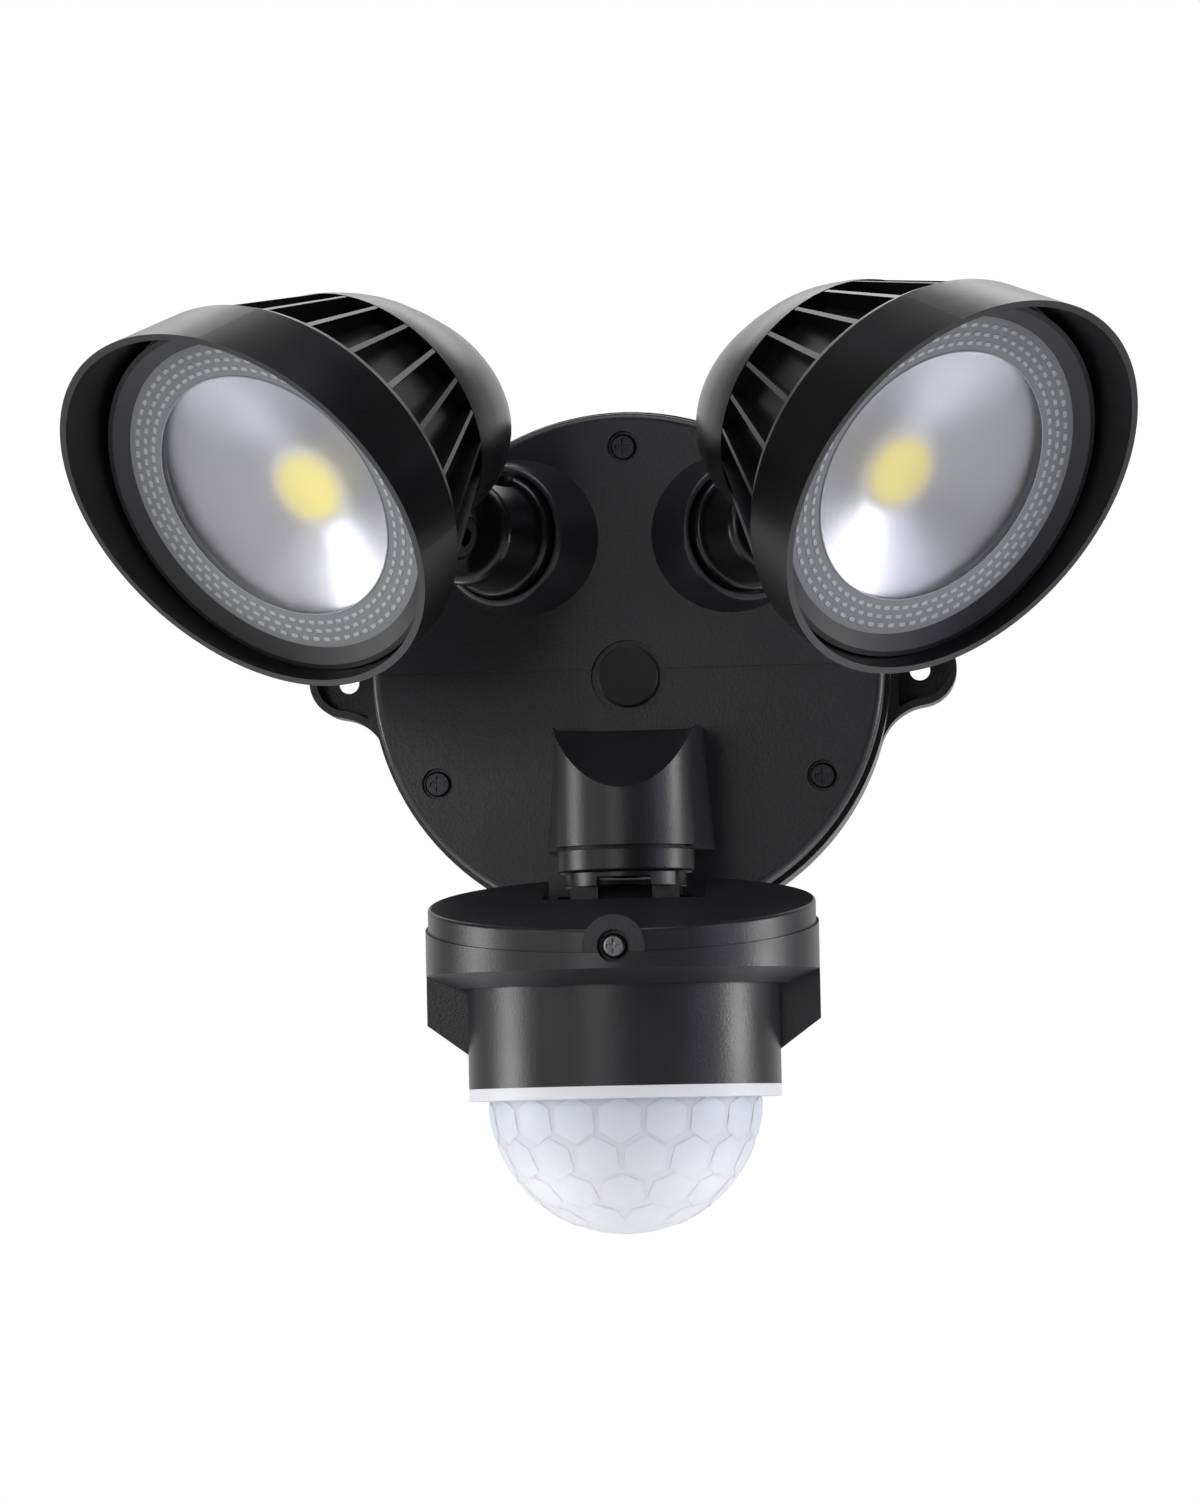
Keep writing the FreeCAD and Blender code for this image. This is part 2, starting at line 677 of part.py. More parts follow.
def make_arm_seal():
    """Flat rubber ring between the boss's recess and the collar."""
    return tube(arm_collar_radius - 0.5, arm_shank_radius + 0.4,
                Z * (collar_start - arm_seal_thickness), Z * collar_start)


def make_arm_nut():
    """Flanged nut that clamps the shank inside the cover."""
    flange = rod(arm_nut_flange, Z * nut_end, Z * (nut_end - 1.4))
    body = hexagon_bar(arm_nut_flats, Z * (nut_end - 1.4), Z * (nut_end - arm_nut_height))
    return flange.fuse(body).cut(rod(arm_shank_radius, Z * nut_end,
                                     Z * (nut_end - arm_nut_height)))


# ---------------------------------------------------------------- lamp heads
def flare_radius(z):
    """Outer radius of the finned band, a straight flare from the dome to the visor."""
    share = (z + fin_band_back) / (fin_band_back - ring_back)
    return fin_back_radius + (ring_radius - fin_back_radius) * share


def dome_axes():
    """Half axes and centre of the ellipse that carries the flare on to the dome's end."""
    slope = (ring_radius - fin_back_radius) / (fin_band_back - ring_back)
    depth = dome_back - fin_band_back
    lead = fin_back_radius / slope
    run = depth ** 2 / (lead - 2.0 * depth)      # ellipse centre to the band, along the axis
    long_half = run + depth
    short_half = long_half * math.sqrt(fin_back_radius * slope / run)
    return long_half, short_half, long_half - dome_back


def dome_arc(long_half, short_half, centre_z, start_z):
    """Arc of that ellipse in the XZ plane, from the axis out to a given depth."""
    ellipse = Part.Ellipse(Vector(0, 0, centre_z - long_half),
                           Vector(short_half, 0, centre_z), Vector(0, 0, centre_z))
    tip = Vector(0, 0, centre_z - long_half)
    ratio = (start_z - centre_z) / long_half
    shoulder = Vector(short_half * math.sqrt(1.0 - ratio ** 2), 0, start_z)
    arc = Part.ArcOfEllipse(ellipse, 0.0, ellipse.parameter(shoulder)).toShape()
    return arc, tip, shoulder


def make_bell():
    """Finned bell: a solid of revolution with pockets cut between its fins."""
    long_half, short_half, centre_z = dome_axes()
    arc, tip, shoulder = dome_arc(long_half, short_half, centre_z, -fin_band_back)
    face_z = -ring_back
    spigot = bezel_outer_radius - 0.1
    spigot_front = -0.5
    outline = Part.makePolygon([shoulder, Vector(ring_radius, 0, face_z),
                                Vector(spigot, 0, face_z), Vector(spigot, 0, spigot_front),
                                Vector(0, 0, spigot_front), tip])
    body = Part.Face(Part.Wire([arc] + outline.Edges)).revolve(ORIGIN, Z, 360.0)
    front_z = face_z - fin_rim
    groove = [(flare_radius(front_z) - fin_groove_front, front_z),
              (flare_radius(front_z) + 3.0, front_z),
              (fin_back_radius + 3.0, -fin_band_back),
              (fin_back_radius - fin_groove_back, -fin_band_back)]
    pitch = 360.0 / fin_count
    pocket = revolve_z(groove, pitch - fin_angle)
    pockets = []
    for k in range(fin_count):
        turned = pocket.copy()
        turned.rotate(ORIGIN, Z, k * pitch + fin_angle / 2.0)
        pockets.append(turned)
    return body.cut(pockets)


seat_z = -(led_depth + led_board_thickness + led_plate_thickness)
gasket_back_z = -(lens_thickness + lens_gasket_height)
flange_back_z = gasket_back_z - reflector_wall


def cavity_radius(z):
    """Inner radius of the reflector's room, parallel to the floor of the grooves."""
    floor_front = flare_radius(-ring_back - fin_rim) - fin_groove_front
    floor_back = fin_back_radius - fin_groove_back
    share = (z + fin_band_back) / (fin_band_back - ring_back - fin_rim)
    return floor_back + (floor_front - floor_back) * share - shell_wall


def make_head_cavities():
    """Room for the lens stack and reflector, and a wire space in the dome."""
    deep_z = -(fin_band_back - 1.0)
    front = revolve_z([(0, 1.0), (lens_radius + 0.1, 1.0), (lens_radius + 0.1, gasket_back_z),
                       (reflector_radius + 0.3, gasket_back_z),
                       (reflector_radius + 0.3, flange_back_z),
                       (cavity_radius(flange_back_z) - 0.4, flange_back_z),
                       (cavity_radius(seat_z) - 0.4, seat_z), (0, seat_z)])
    web = 3.0
    long_half, short_half, centre_z = dome_axes()
    arc, tip, shoulder = dome_arc(long_half - shell_wall, short_half - shell_wall - 2.0,
                                  centre_z, -fin_band_back - 2.0)
    lip = Vector(cavity_radius(deep_z) - 0.6, 0, deep_z)
    top = Vector(cavity_radius(seat_z - web) - 0.6, 0, seat_z - web)
    outline = Part.makePolygon([shoulder, lip, top, Vector(0, 0, seat_z - web), tip])
    rear = Part.Face(Part.Wire([arc] + outline.Edges)).revolve(ORIGIN, Z, 360.0)
    wire_hole = rod(2.6, Vector(0, 16.0, seat_z + 1.0), Vector(0, 16.0, seat_z - web - 1.0))
    return [front, rear, wire_hole]


def make_foot():
    """Forked foot under the dome, as wide as the knuckle, with its slot and pin hole."""
    pin = Vector(0, -pin_drop, -pin_setback)
    half = pin_length
    root_y = -16.0

    def touch(corner, side):
        """Point where the line from a corner just touches the fork's round end."""
        to_pin = pin - corner
        gap = to_pin.Length
        turn = math.degrees(math.asin(fork_radius / gap)) * side
        leg = math.sqrt(gap ** 2 - fork_radius ** 2)
        return corner + Rotation(X, turn).multVec(to_pin).normalize() * leg

    front = Vector(0, root_y, -pin_setback + 19.0)
    rear = Vector(0, root_y, -pin_setback - 9.6)
    low = pin + Vector(0, -fork_radius, 0)
    flank = Part.Arc(touch(front, -1.0), low, touch(rear, 1.0)).toShape()
    sides = Part.makePolygon([touch(rear, 1.0), rear, front, touch(front, -1.0)])
    web = Part.Face(Part.Wire([flank] + sides.Edges))
    web.translate(X * -half)
    return web.extrude(X * (2 * half))


def make_foot_cuts():
    """The fork's slot, open to the back and below, and the hole for the pin."""
    pin = Vector(0, -pin_drop, -pin_setback)
    slot_half = arm_tongue_width / 2.0 + side_gap
    clear = arm_tongue_radius + 0.5
    round_slot = rod(clear, pin - X * slot_half, pin + X * slot_half)
    # The tongue leaves the pin anywhere between straight back and nearly straight down.
    behind = block(Vector(-slot_half, -clear, -3.0 * clear), Vector(slot_half, clear, 0))
    behind.translate(pin)
    sweeps = [behind]
    for angle in (30.0, 60.0, 90.0):
        turned = behind.copy()
        turned.rotate(pin, X, -angle)
        sweeps.append(turned)
    hole = rod(knuckle_pin_radius + running_gap, pin - X * (pin_length + 1.0),
               pin + X * (pin_length + 1.0))
    wires = rod(wire_exit_radius, pin, pin + Y * (pin_drop - fin_back_radius / 2.0))
    return sweeps + [round_slot, hole, wires]


def make_lamp_housing():
    """Bell and foot as one casting."""
    return make_bell().fuse(make_foot()).cut(make_head_cavities() + make_foot_cuts())


def make_visor():
    """Hood ring that carries the bell's flare on, cut longest at the top."""
    rake = Rotation(X, visor_rake)
    rim_centre = Vector(0, visor_lift, visor_forward)
    rim_normal = rake.multVec(Z)

    def skin(back_radius, rim_radius):
        back = Part.Wire(Part.Circle(Vector(0, 0, -ring_back), Z, back_radius).toShape())
        rim = Part.Wire(Part.Circle(rim_centre, rim_normal, rim_radius).toShape())
        return Part.makeLoft([back, rim], True, True)

    outer = skin(ring_radius + 0.5, visor_radius)
    inner = skin(ring_radius + 0.5 - visor_wall, visor_radius - visor_wall)
    return outer.cut(inner)


def make_bezel_ring():
    """Sloping ring that holds the lens down on its seal."""
    return revolve_z([(bezel_inner_radius, 0.0), (bezel_outer_radius - 1.2, bezel_height),
                      (bezel_outer_radius, bezel_height), (bezel_outer_radius, -0.5),
                      (lens_radius + 0.1, -0.5), (lens_radius + 0.1, 0.0)])


def make_lens():
    """Clear disc: a flat patterned ring round a gently crowned window."""
    crown = 0.9
    edge = Part.makePolygon([Vector(lens_window_radius, 0, 0), Vector(lens_radius, 0, 0),
                             Vector(lens_radius, 0, -lens_thickness),
                             Vector(0, 0, -lens_thickness), Vector(0, 0, crown)])
    ring = Vector(lens_window_radius, 0, 0)
    half_way = lens_window_radius / 2.0
    bulge = Part.Arc(Vector(0, 0, crown), Vector(half_way, 0, crown * 0.75), ring).toShape()
    return Part.Face(Part.Wire(edge.Edges + [bulge])).revolve(ORIGIN, Z, 360.0)


def make_lens_gasket():
    """Rubber ring behind the lens."""
    return tube(lens_radius, reflector_radius + 0.6, Z * gasket_back_z, Z * -lens_thickness)


def make_reflector():
    """Aluminium dish from the lens down to the emitter, which lies below the axis."""
    small = led_radius + 2.4
    back = -led_depth + 0.2
    rim_front = cavity_radius(flange_back_z) - 0.8 - reflector_wall

    def skin(thickness):
        wide = Part.Circle(Vector(0, 0, gasket_back_z), Z, rim_front + thickness)
        narrow = Part.Circle(Vector(0, -led_offset, back), Z, small + thickness)
        return Part.makeLoft([Part.Wire(wide.toShape()), Part.Wire(narrow.toShape())], True, True)

    dish = skin(0.0)
    flange = rod(reflector_radius, Z * flange_back_z, Z * gasket_back_z)
    return skin(reflector_wall).fuse(flange).cut(dish)


def make_led_board():
    """Square metal-core board of the emitter."""
    half = led_board_side / 2.0
    back = -(led_depth + led_board_thickness)
    board = block(Vector(-half, -led_offset - half, back), Vector(half, -led_offset + half,
                                                                  -led_depth - 0.3))
    corners = [rod(1.6, Vector(sx * (half - 2.6), -led_offset + sy * (half - 2.6), back),
                   Vector(sx * (half - 2.6), -led_offset + sy * (half - 2.6), -led_depth))
               for sx, sy in ((-1, -1), (1, 1))]
    return board.cut(corners)


def make_led_chip():
    """Yellow phosphor disc of the emitter."""
    centre = Vector(0, -led_offset, 0)
    return rod(led_radius, centre - Z * (led_depth + 0.3), centre - Z * (led_depth - 0.5))


def make_led_plate():
    """Round aluminium plate that spreads the emitter's heat to the bell."""
    return rod(cavity_radius(seat_z) - 0.8, Z * seat_z, Z * (seat_z + led_plate_thickness))


def make_knuckle_screw():
    """Pin of the knuckle: a round-headed screw through the fork."""
    pin = Vector(0, -pin_drop, -pin_setback)
    head = rod(5.4, pin + X * pin_length, pin + X * (pin_length + 3.2))
    head = round_edges(head, 1.2, lambda e: e.CenterOfMass.x > pin_length + 3.1)
    socket = hexagon_bar(4.0, pin + X * (pin_length + 1.2), pin + X * (pin_length + 4.0))
    shank = rod(knuckle_pin_radius, pin - X * (pin_length + 4.6), pin + X * pin_length)
    return head.cut(socket).fuse(shank)


def make_knuckle_nut():
    """Hexagon nut on the other end of the knuckle's screw."""
    pin = Vector(0, -pin_drop, -pin_setback)
    nut = hexagon_bar(9.6, pin - X * (pin_length + 4.0), pin - X * pin_length)
    return nut.cut(rod(knuckle_pin_radius, pin - X * (pin_length + 5.0), pin))


def save_lamp(side):
    """Write every piece of one lamp, in its rest pose."""
    lamp = lamp_frames(side)
    save(in_arm(make_arm(), lamp), side + "_arm")
    save(in_arm(make_arm_seal(), lamp), side + "_arm_seal")
    save(in_arm(make_arm_nut(), lamp), side + "_arm_nut")
    head = [(make_lamp_housing, "lamp_housing"), (make_visor, "visor"),
            (make_bezel_ring, "bezel_ring"), (make_lens, "lamp_lens"),
            (make_lens_gasket, "lens_gasket"), (make_reflector, "reflector"),
            (make_led_board, "led_board"), (make_led_chip, "led_chip"),
            (make_led_plate, "heat_plate"), (make_knuckle_screw, "knuckle_screw"),
            (make_knuckle_nut, "knuckle_nut")]
    for make, name in head:
        save(in_head(make(), lamp), side + "_" + name)
    print(side, "arm root", lamp["root"], "along", lamp["along"])
    print(side, "knuckle", lamp["knuckle"], "pin", lamp["pin"])
    print(side, "lens", lamp["lens"], "ahead", lamp["ahead"], "top", lamp["head_top"])


# ---------------------------------------------------------------- motion sensor
neck_top = socket_bottom - neck_seal_thickness
ring_bottom = neck_top - neck_ring_height
barrel_bottom = ring_bottom - neck_barrel_height
neck_nut_low = chamber_floor + 0.2
neck_stem_top = neck_nut_low + neck_nut_height
neck_side = neck_barrel_radius - 1.4


def at_neck(z):
    """A point on the neck's own upright axis."""
    return Vector(0, neck_y, z)


def make_sensor_neck():
    """Stem, ring and fork that hang the sensor from its socket."""
    stem = rod(neck_stem_radius, at_neck(neck_top - 1.0), at_neck(neck_stem_top))
    ring = rod(neck_ring_radius, at_neck(ring_bottom), at_neck(neck_top))
    ring = round_edges(ring, 0.8, lambda e: is_circle(e, neck_ring_radius)
                       and e.CenterOfMass.z < ring_bottom + 0.1)
    barrel = rod(neck_barrel_radius, at_neck(barrel_bottom), at_neck(ring_bottom + 0.5))
    pin = at_neck(tilt_z)
    cheek_round = rod(neck_cheek_radius, pin - X * neck_side, pin + X * neck_side)
    cheek_leg = block(pin + Vector(-neck_side, -neck_cheek_radius, 0),
                      Vector(neck_side, neck_y + neck_cheek_radius, ring_bottom))
    body = ring.fuse([stem, barrel, cheek_round, cheek_leg])
    slot = block(Vector(-neck_slot_half, neck_y - 2 * neck_barrel_radius,
                        tilt_z - 2 * neck_cheek_radius),
                 Vector(neck_slot_half, neck_y + 2 * neck_barrel_radius, ring_bottom - 1.0))
    hole = rod(tilt_bolt_radius, pin - X * 20.0, pin + X * 20.0)
    wire_way = rod(arm_wire_radius, at_neck(ring_bottom - 2.0), at_neck(neck_stem_top))
    return body.cut([slot, hole, wire_way])


def make_neck_seal():
    """Rubber washer under the socket."""
    return tube(neck_barrel_radius, neck_stem_radius + 0.2, at_neck(neck_top),
                at_neck(socket_bottom))


def make_neck_nut():
    """Ring nut that keeps the stem in its socket."""
    low, high = at_neck(neck_nut_low), at_neck(neck_stem_top)
    return tube(chamber_radius - 0.6, neck_stem_radius, low, high)


def make_tilt_bolt():
    """Cross bolt of the sensor's tilt, with its head beside one cheek."""
    pin = at_neck(tilt_z)
    shank = rod(tilt_bolt_radius, pin - X * (neck_side + 3.6), pin + X * neck_side)
    head = rod(4.4, pin + X * neck_side, pin + X * (neck_side + 2.6))
    head = round_edges(head, 0.9, lambda e: e.CenterOfMass.x > neck_side + 2.5)
    return shank.fuse(head)


def make_tilt_nut():
    """Nut on the other end of the tilt bolt."""
    pin = at_neck(tilt_z)
    nut = hexagon_bar(7.6, pin - X * (neck_side + 3.2), pin - X * neck_side)
    return nut.cut(rod(tilt_bolt_radius, pin - X * 30.0, pin))


def half_space(drop, above):
    """A big slab whose face is the lid's slope, moved down by drop."""
    big = 120.0
    slab = block(Vector(-big, -big, 0 if above else -big), Vector(big, big, big if above else 0))
    slab.rotate(ORIGIN, X, lid_slope)
    slab.translate(Vector(0, sensor_y, lid_centre_z - drop))
    return slab


def at_sensor(z):
    """A point on the sensor's own upright centre line."""
    return Vector(0, sensor_y, z)


pocket_floor_z = tilt_z - pocket_depth
pocket_front_y = neck_y - pocket_front
tongue_half = neck_slot_half - side_gap
tongue_round = neck_cheek_radius - 0.4


def lug_places():
    """Start and end of the screw lug at the front of the lid."""
    front = Vector(0, sensor_y - sensor_radius + 0.6, lid_screw_z)
    return front, front + Y * 9.0


def make_sensor_lid():
    """Sloping lid with the pocket and tongue for the neck, and the front screw's lug."""
    disc = rod(lid_radius, at_sensor(-90.0), at_sensor(-30.0))
    disc = disc.common(half_space(0.0, False)).common(half_space(lid_height, True))
    disc = round_edges(disc, 0.8, lambda e: e.CenterOfMass.z > lid_plane_z(e.CenterOfMass.y) - 0.3
                       and e.Length > lid_radius)
    low = Vector(-pocket_half_width - pocket_wall, pocket_front_y - pocket_wall,
                 pocket_floor_z - pocket_wall)
    high = Vector(pocket_half_width + pocket_wall, neck_y + 2 * neck_barrel_radius, 0)
    well = block(low, high).common(rod(lid_radius - 3.0, at_sensor(-90.0), at_sensor(-30.0)))
    well = well.common(half_space(1.0, False))
    start, end = lug_places()
    lug = rod(lug_radius, start, end).common(half_space(lid_height, True))
    body = disc.fuse([well, lug])
    room = block(Vector(-pocket_half_width, pocket_front_y, pocket_floor_z),
                 Vector(pocket_half_width, sensor_y + lid_radius + 5.0, -30.0))
    body = body.cut(room)
    pin = at_neck(tilt_z)
    eye = rod(tongue_round, pin - X * tongue_half, pin + X * tongue_half)
    post = block(Vector(-tongue_half, neck_y - tongue_round, pocket_floor_z - 0.5),
                 Vector(tongue_half, neck_y + tongue_round, tilt_z))
    bolt_hole = rod(tilt_bolt_radius + running_gap, pin - X * 20.0, pin + X * 20.0)
    screw_hole = rod(lid_screw_hole_radius, start - Y * 5.0, start + Y * 3.2)
    shank_hole = rod(lid_screw_radius, start, end + Y)
    return body.fuse([eye, post]).cut([bolt_hole, screw_hole, shank_hole])


def make_sensor_body():
    """Drum with a wide upper band, a deeper rear half and a control pad."""
    top = -40.0
    front = revolve_z([(0, top), (sensor_radius, top), (sensor_radius, ledge_z),
                       (sensor_drum_radius + 2.0, skirt_top_z),
                       (sensor_drum_radius, skirt_top_z), (sensor_drum_radius, drum_bottom_z),
                       (0, drum_bottom_z)])
    rear = revolve_z([(0, top), (sensor_radius, top), (sensor_radius, cheek_bottom_z),
                      (sensor_drum_radius, cheek_chamfer_z), (0, cheek_chamfer_z)])
    rear = rear.common(block(Vector(-100, -1.0, -100), Vector(100, 100, 0)))
    pad = rod(sensor_radius, Z * cheek_chamfer_z, Z * -60.0)
    pad = pad.common(block(Vector(-pad_half_width, 0, -100), Vector(pad_half_width, 100, 0)))
    wall = sensor_wall
    inner = revolve_z([(0, top), (sensor_radius - wall, top),
                       (sensor_radius - wall, ledge_z + 1.6),
                       (sensor_board_radius + 0.4, skirt_top_z + 1.6),
                       (sensor_board_radius + 0.4, sensor_board_z), (30.6, sensor_board_z),
                       (30.6, drum_bottom_z), (0, drum_bottom_z)])
    rear_inner = revolve_z([(0, top), (sensor_radius - wall, top),
                            (sensor_radius - wall, cheek_bottom_z + 1.2),
                            (sensor_board_radius + 0.4, cheek_chamfer_z + wall),
                            (0, cheek_chamfer_z + wall)])
    rear_inner = rear_inner.common(block(Vector(-100, wall / 2.0, -100), Vector(100, 100, 0)))
    body = front.fuse([rear, pad]).cut([inner, rear_inner])
    body.translate(Vector(0, sensor_y, 0))
    body = body.common(half_space(lid_height, False))
    # The rear wall is open above the pocket's floor, so that the neck can lean there.
    notch = block(Vector(-pocket_half_width, neck_y, pocket_floor_z - pocket_wall),
                  Vector(pocket_half_width, sensor_y + sensor_radius + 5.0, -30.0))
    start, end = lug_places()
    boss = rod(lug_radius - 2.0, start + Y * 3.6, end).common(half_space(lid_height, False))
    head_hole = rod(lid_screw_hole_radius, start - Y * 5.0, start + Y * 3.2)
    shank_hole = rod(lid_screw_radius, start, end + Y)
    holes = [rod(knob_stem_radius + running_gap, spot, spot + Z * 10.0) for spot in knob_places()]
    return body.fuse(boss).cut([notch, head_hole, shank_hole] + holes)


def knob_places():
    """Centres of the two knobs, on the pad under the rear half."""
    radius = (sensor_drum_radius + sensor_radius) / 2.0
    depth = math.sqrt(radius ** 2 - knob_spread ** 2)
    return [Vector(sx * knob_spread, sensor_y + depth, cheek_chamfer_z) for sx in (-1, 1)]


def make_knob(spot):
    """A small ribbed knob with a pointer slot, on a thin stem."""
    low = spot - Z * (knob_height + 0.3)
    cap = rod(knob_radius, low, spot - Z * 0.3)
    cap = round_edges(cap, 0.5, lambda e: e.CenterOfMass.z < low.z + 0.1)
    flutes = []
    for k in range(8):
        angle = math.radians(45 * k)
        side = Vector(math.cos(angle), math.sin(angle), 0) * (knob_radius + 0.5)
        flutes.append(rod(0.9, low + side, spot + side))
    slot = block(low + Vector(-0.4, -knob_radius * 0.7, 0), low + Vector(0.4, knob_radius * 0.7, 0.8))
    stem = rod(knob_stem_radius, spot - Z, spot + Z * 3.0)
    return cap.cut(flutes + [slot]).fuse(stem)


def make_lid_screw():
    """Cross-head screw at the front of the sensor."""
    start, end = lug_places()
    seat = start + Y * 3.2
    head = rod(lid_screw_head_radius, seat - Y * 2.2, seat)
    head = round_edges(head, 0.8, lambda e: e.CenterOfMass.y < seat.y - 2.1)
    arm = 0.4
    reach = lid_screw_head_radius * 0.6
    cross = [block(seat + Vector(-reach, -4.0, -arm), seat + Vector(reach, -1.2, arm)),
             block(seat + Vector(-arm, -4.0, -reach), seat + Vector(arm, -1.2, reach))]
    shank = rod(lid_screw_radius - 0.1, seat, end)
    return head.cut(cross).fuse(shank)


def make_dome_lens():
    """Milky half-round lens with the flange that closes the drum."""
    centre_z = drum_bottom_z - dome_flange + 0.3
    outer = Part.makeSphere(dome_radius, at_sensor(centre_z), Z, -90, 0, 360)
    inner = Part.makeSphere(dome_radius - dome_wall, at_sensor(centre_z), Z, -90, 90, 360)
    flange = rod(sensor_drum_radius, at_sensor(drum_bottom_z - dome_flange), at_sensor(drum_bottom_z))
    flange = flange.cut(rod(dome_radius - dome_wall, at_sensor(drum_bottom_z - 5.0),
                            at_sensor(drum_bottom_z + 1.0)))
    return outer.cut(inner).fuse(flange)


def make_sensor_board():
    """Round board of the sensor, on the ledge inside the drum."""
    board = rod(sensor_board_radius, at_sensor(sensor_board_z),
                at_sensor(sensor_board_z + board_thickness))
    return board


def make_pir_detector():
    """Round metal can that looks out through the dome."""
    can = rod(4.6, at_sensor(sensor_board_z - 4.2), at_sensor(sensor_board_z))
    lip = rod(5.2, at_sensor(sensor_board_z - 0.8), at_sensor(sensor_board_z))
    window = block(at_sensor(sensor_board_z - 5.0) + Vector(-2, -1.5, 0),
                   at_sensor(sensor_board_z - 3.8) + Vector(2, 1.5, 0))
    return can.fuse(lip).cut(window)


# ---------------------------------------------------------------- write every piece
save(make_back_box(), "back_box")
save(make_wall_gasket(), "wall_gasket")
save(make_grommet(), "cable_grommet")
save(make_cover_gasket(), "cover_gasket")
save(make_front_cover(), "front_cover")
save(make_cover_screws(), "cover_screws")
save(make_centre_plug(), "centre_plug")
save(make_driver_board(), "driver_board")
save(make_board_screws(), "board_screws")
save(make_transformer(), "transformer")
save(make_capacitors(), "capacitors")
save(make_terminal_block(), "terminal_block")
save_lamp("left")
save_lamp("right")
save(make_neck_seal(), "neck_seal")
save(make_sensor_neck(), "sensor_neck")
save(make_neck_nut(), "neck_nut")
save(make_tilt_bolt(), "tilt_bolt")
save(make_tilt_nut(), "tilt_nut")
save(make_sensor_lid(), "sensor_lid")
save(make_lid_screw(), "lid_screw")
save(make_sensor_body(), "sensor_body")
save(make_dome_lens(), "dome_lens")
save(make_sensor_board(), "sensor_board")
save(make_pir_detector(), "pir_detector")
left_knob, right_knob = knob_places()
save(make_knob(left_knob), "time_knob")
save(make_knob(right_knob), "range_knob")
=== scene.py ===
# %% [markdown]
# # A wall light with two lamp heads and a motion sensor
# The construction comes in as a fixed frame: every casting, screw and lens at its real size, in
# metres. This lesson gives each of them its finish, adds the small moulded detail that the eye
# looks for, and sets up a plain photo studio around the object.

# %% Load the construction
import bpy
import json
import math
from mathutils import Matrix, Vector


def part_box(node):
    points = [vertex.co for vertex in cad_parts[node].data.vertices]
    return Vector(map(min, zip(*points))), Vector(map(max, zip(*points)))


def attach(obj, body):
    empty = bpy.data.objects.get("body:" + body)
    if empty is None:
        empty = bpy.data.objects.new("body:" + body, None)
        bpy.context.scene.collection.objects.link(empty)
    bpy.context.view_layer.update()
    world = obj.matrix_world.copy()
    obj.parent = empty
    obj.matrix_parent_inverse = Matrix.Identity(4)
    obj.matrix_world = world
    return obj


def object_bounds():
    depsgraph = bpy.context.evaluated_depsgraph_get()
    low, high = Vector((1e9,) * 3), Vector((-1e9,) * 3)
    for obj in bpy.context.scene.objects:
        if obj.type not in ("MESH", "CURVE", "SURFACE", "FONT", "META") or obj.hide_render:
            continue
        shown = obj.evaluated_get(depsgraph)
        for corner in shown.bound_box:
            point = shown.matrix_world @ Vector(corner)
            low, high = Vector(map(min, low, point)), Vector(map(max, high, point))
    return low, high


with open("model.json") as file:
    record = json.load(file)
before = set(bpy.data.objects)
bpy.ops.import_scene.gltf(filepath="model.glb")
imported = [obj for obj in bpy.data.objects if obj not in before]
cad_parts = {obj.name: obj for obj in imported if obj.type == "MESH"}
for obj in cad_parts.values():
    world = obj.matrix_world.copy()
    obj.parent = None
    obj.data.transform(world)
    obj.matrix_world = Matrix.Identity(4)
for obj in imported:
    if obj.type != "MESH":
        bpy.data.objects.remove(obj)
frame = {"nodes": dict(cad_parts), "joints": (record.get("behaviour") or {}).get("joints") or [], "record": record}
size_at_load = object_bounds()
nodes = frame["nodes"]
joints = {joint["name"]: joint for joint in frame["joints"]}
MM = 0.001
print("pieces from the frame:", len(nodes))

# %% [markdown]
# ## Where the camera stands
# The photo was taken with a long lens from almost straight ahead, a little below the middle and
# a little to the right, and it is tilted by about one degree. A camera could be dragged into place
# by eye, but it would be hard to set right again. It is built from its description instead: a
# distance, an azimuth, an elevation and a roll, and the point of the object that it aims at.

# %% What the photo tells about its camera
photo_width = 1200           # pixels
photo_height = 1500
pixels_per_metre = 4365.5    # at the distance of the aim point
camera_distance = 1700 * MM
camera_azimuth = math.radians(2.8)
camera_elevation = math.radians(-3.03)
camera_roll = math.radians(1.185)
aim = Vector((0, -36 * MM, 0))
aim_pixel = (627.57, 668.26)
print("the photo spans", round(photo_width / pixels_per_metre, 3), "m")

# %% Directions of the camera
forward = Vector((-math.sin(camera_azimuth) * math.cos(camera_elevation),
                  math.cos(camera_azimuth) * math.cos(camera_elevation),
                  -math.sin(camera_elevation)))
level_right = Vector((math.cos(camera_azimuth), math.sin(camera_azimuth), 0))
level_up = level_right.cross(forward)
camera_right = level_right * math.cos(camera_roll) - level_up * math.sin(camera_roll)
camera_up = level_right * math.sin(camera_roll) + level_up * math.cos(camera_roll)
# The aim point isn't in the middle of the picture, so the camera is moved sideways by as much.
aside = (aim_pixel[0] - photo_width / 2) / pixels_per_metre
above = (photo_height / 2 - aim_pixel[1]) / pixels_per_metre
camera_place = aim - forward * camera_distance - camera_right * aside - camera_up * above
print("camera at", [round(v, 3) for v in camera_place])

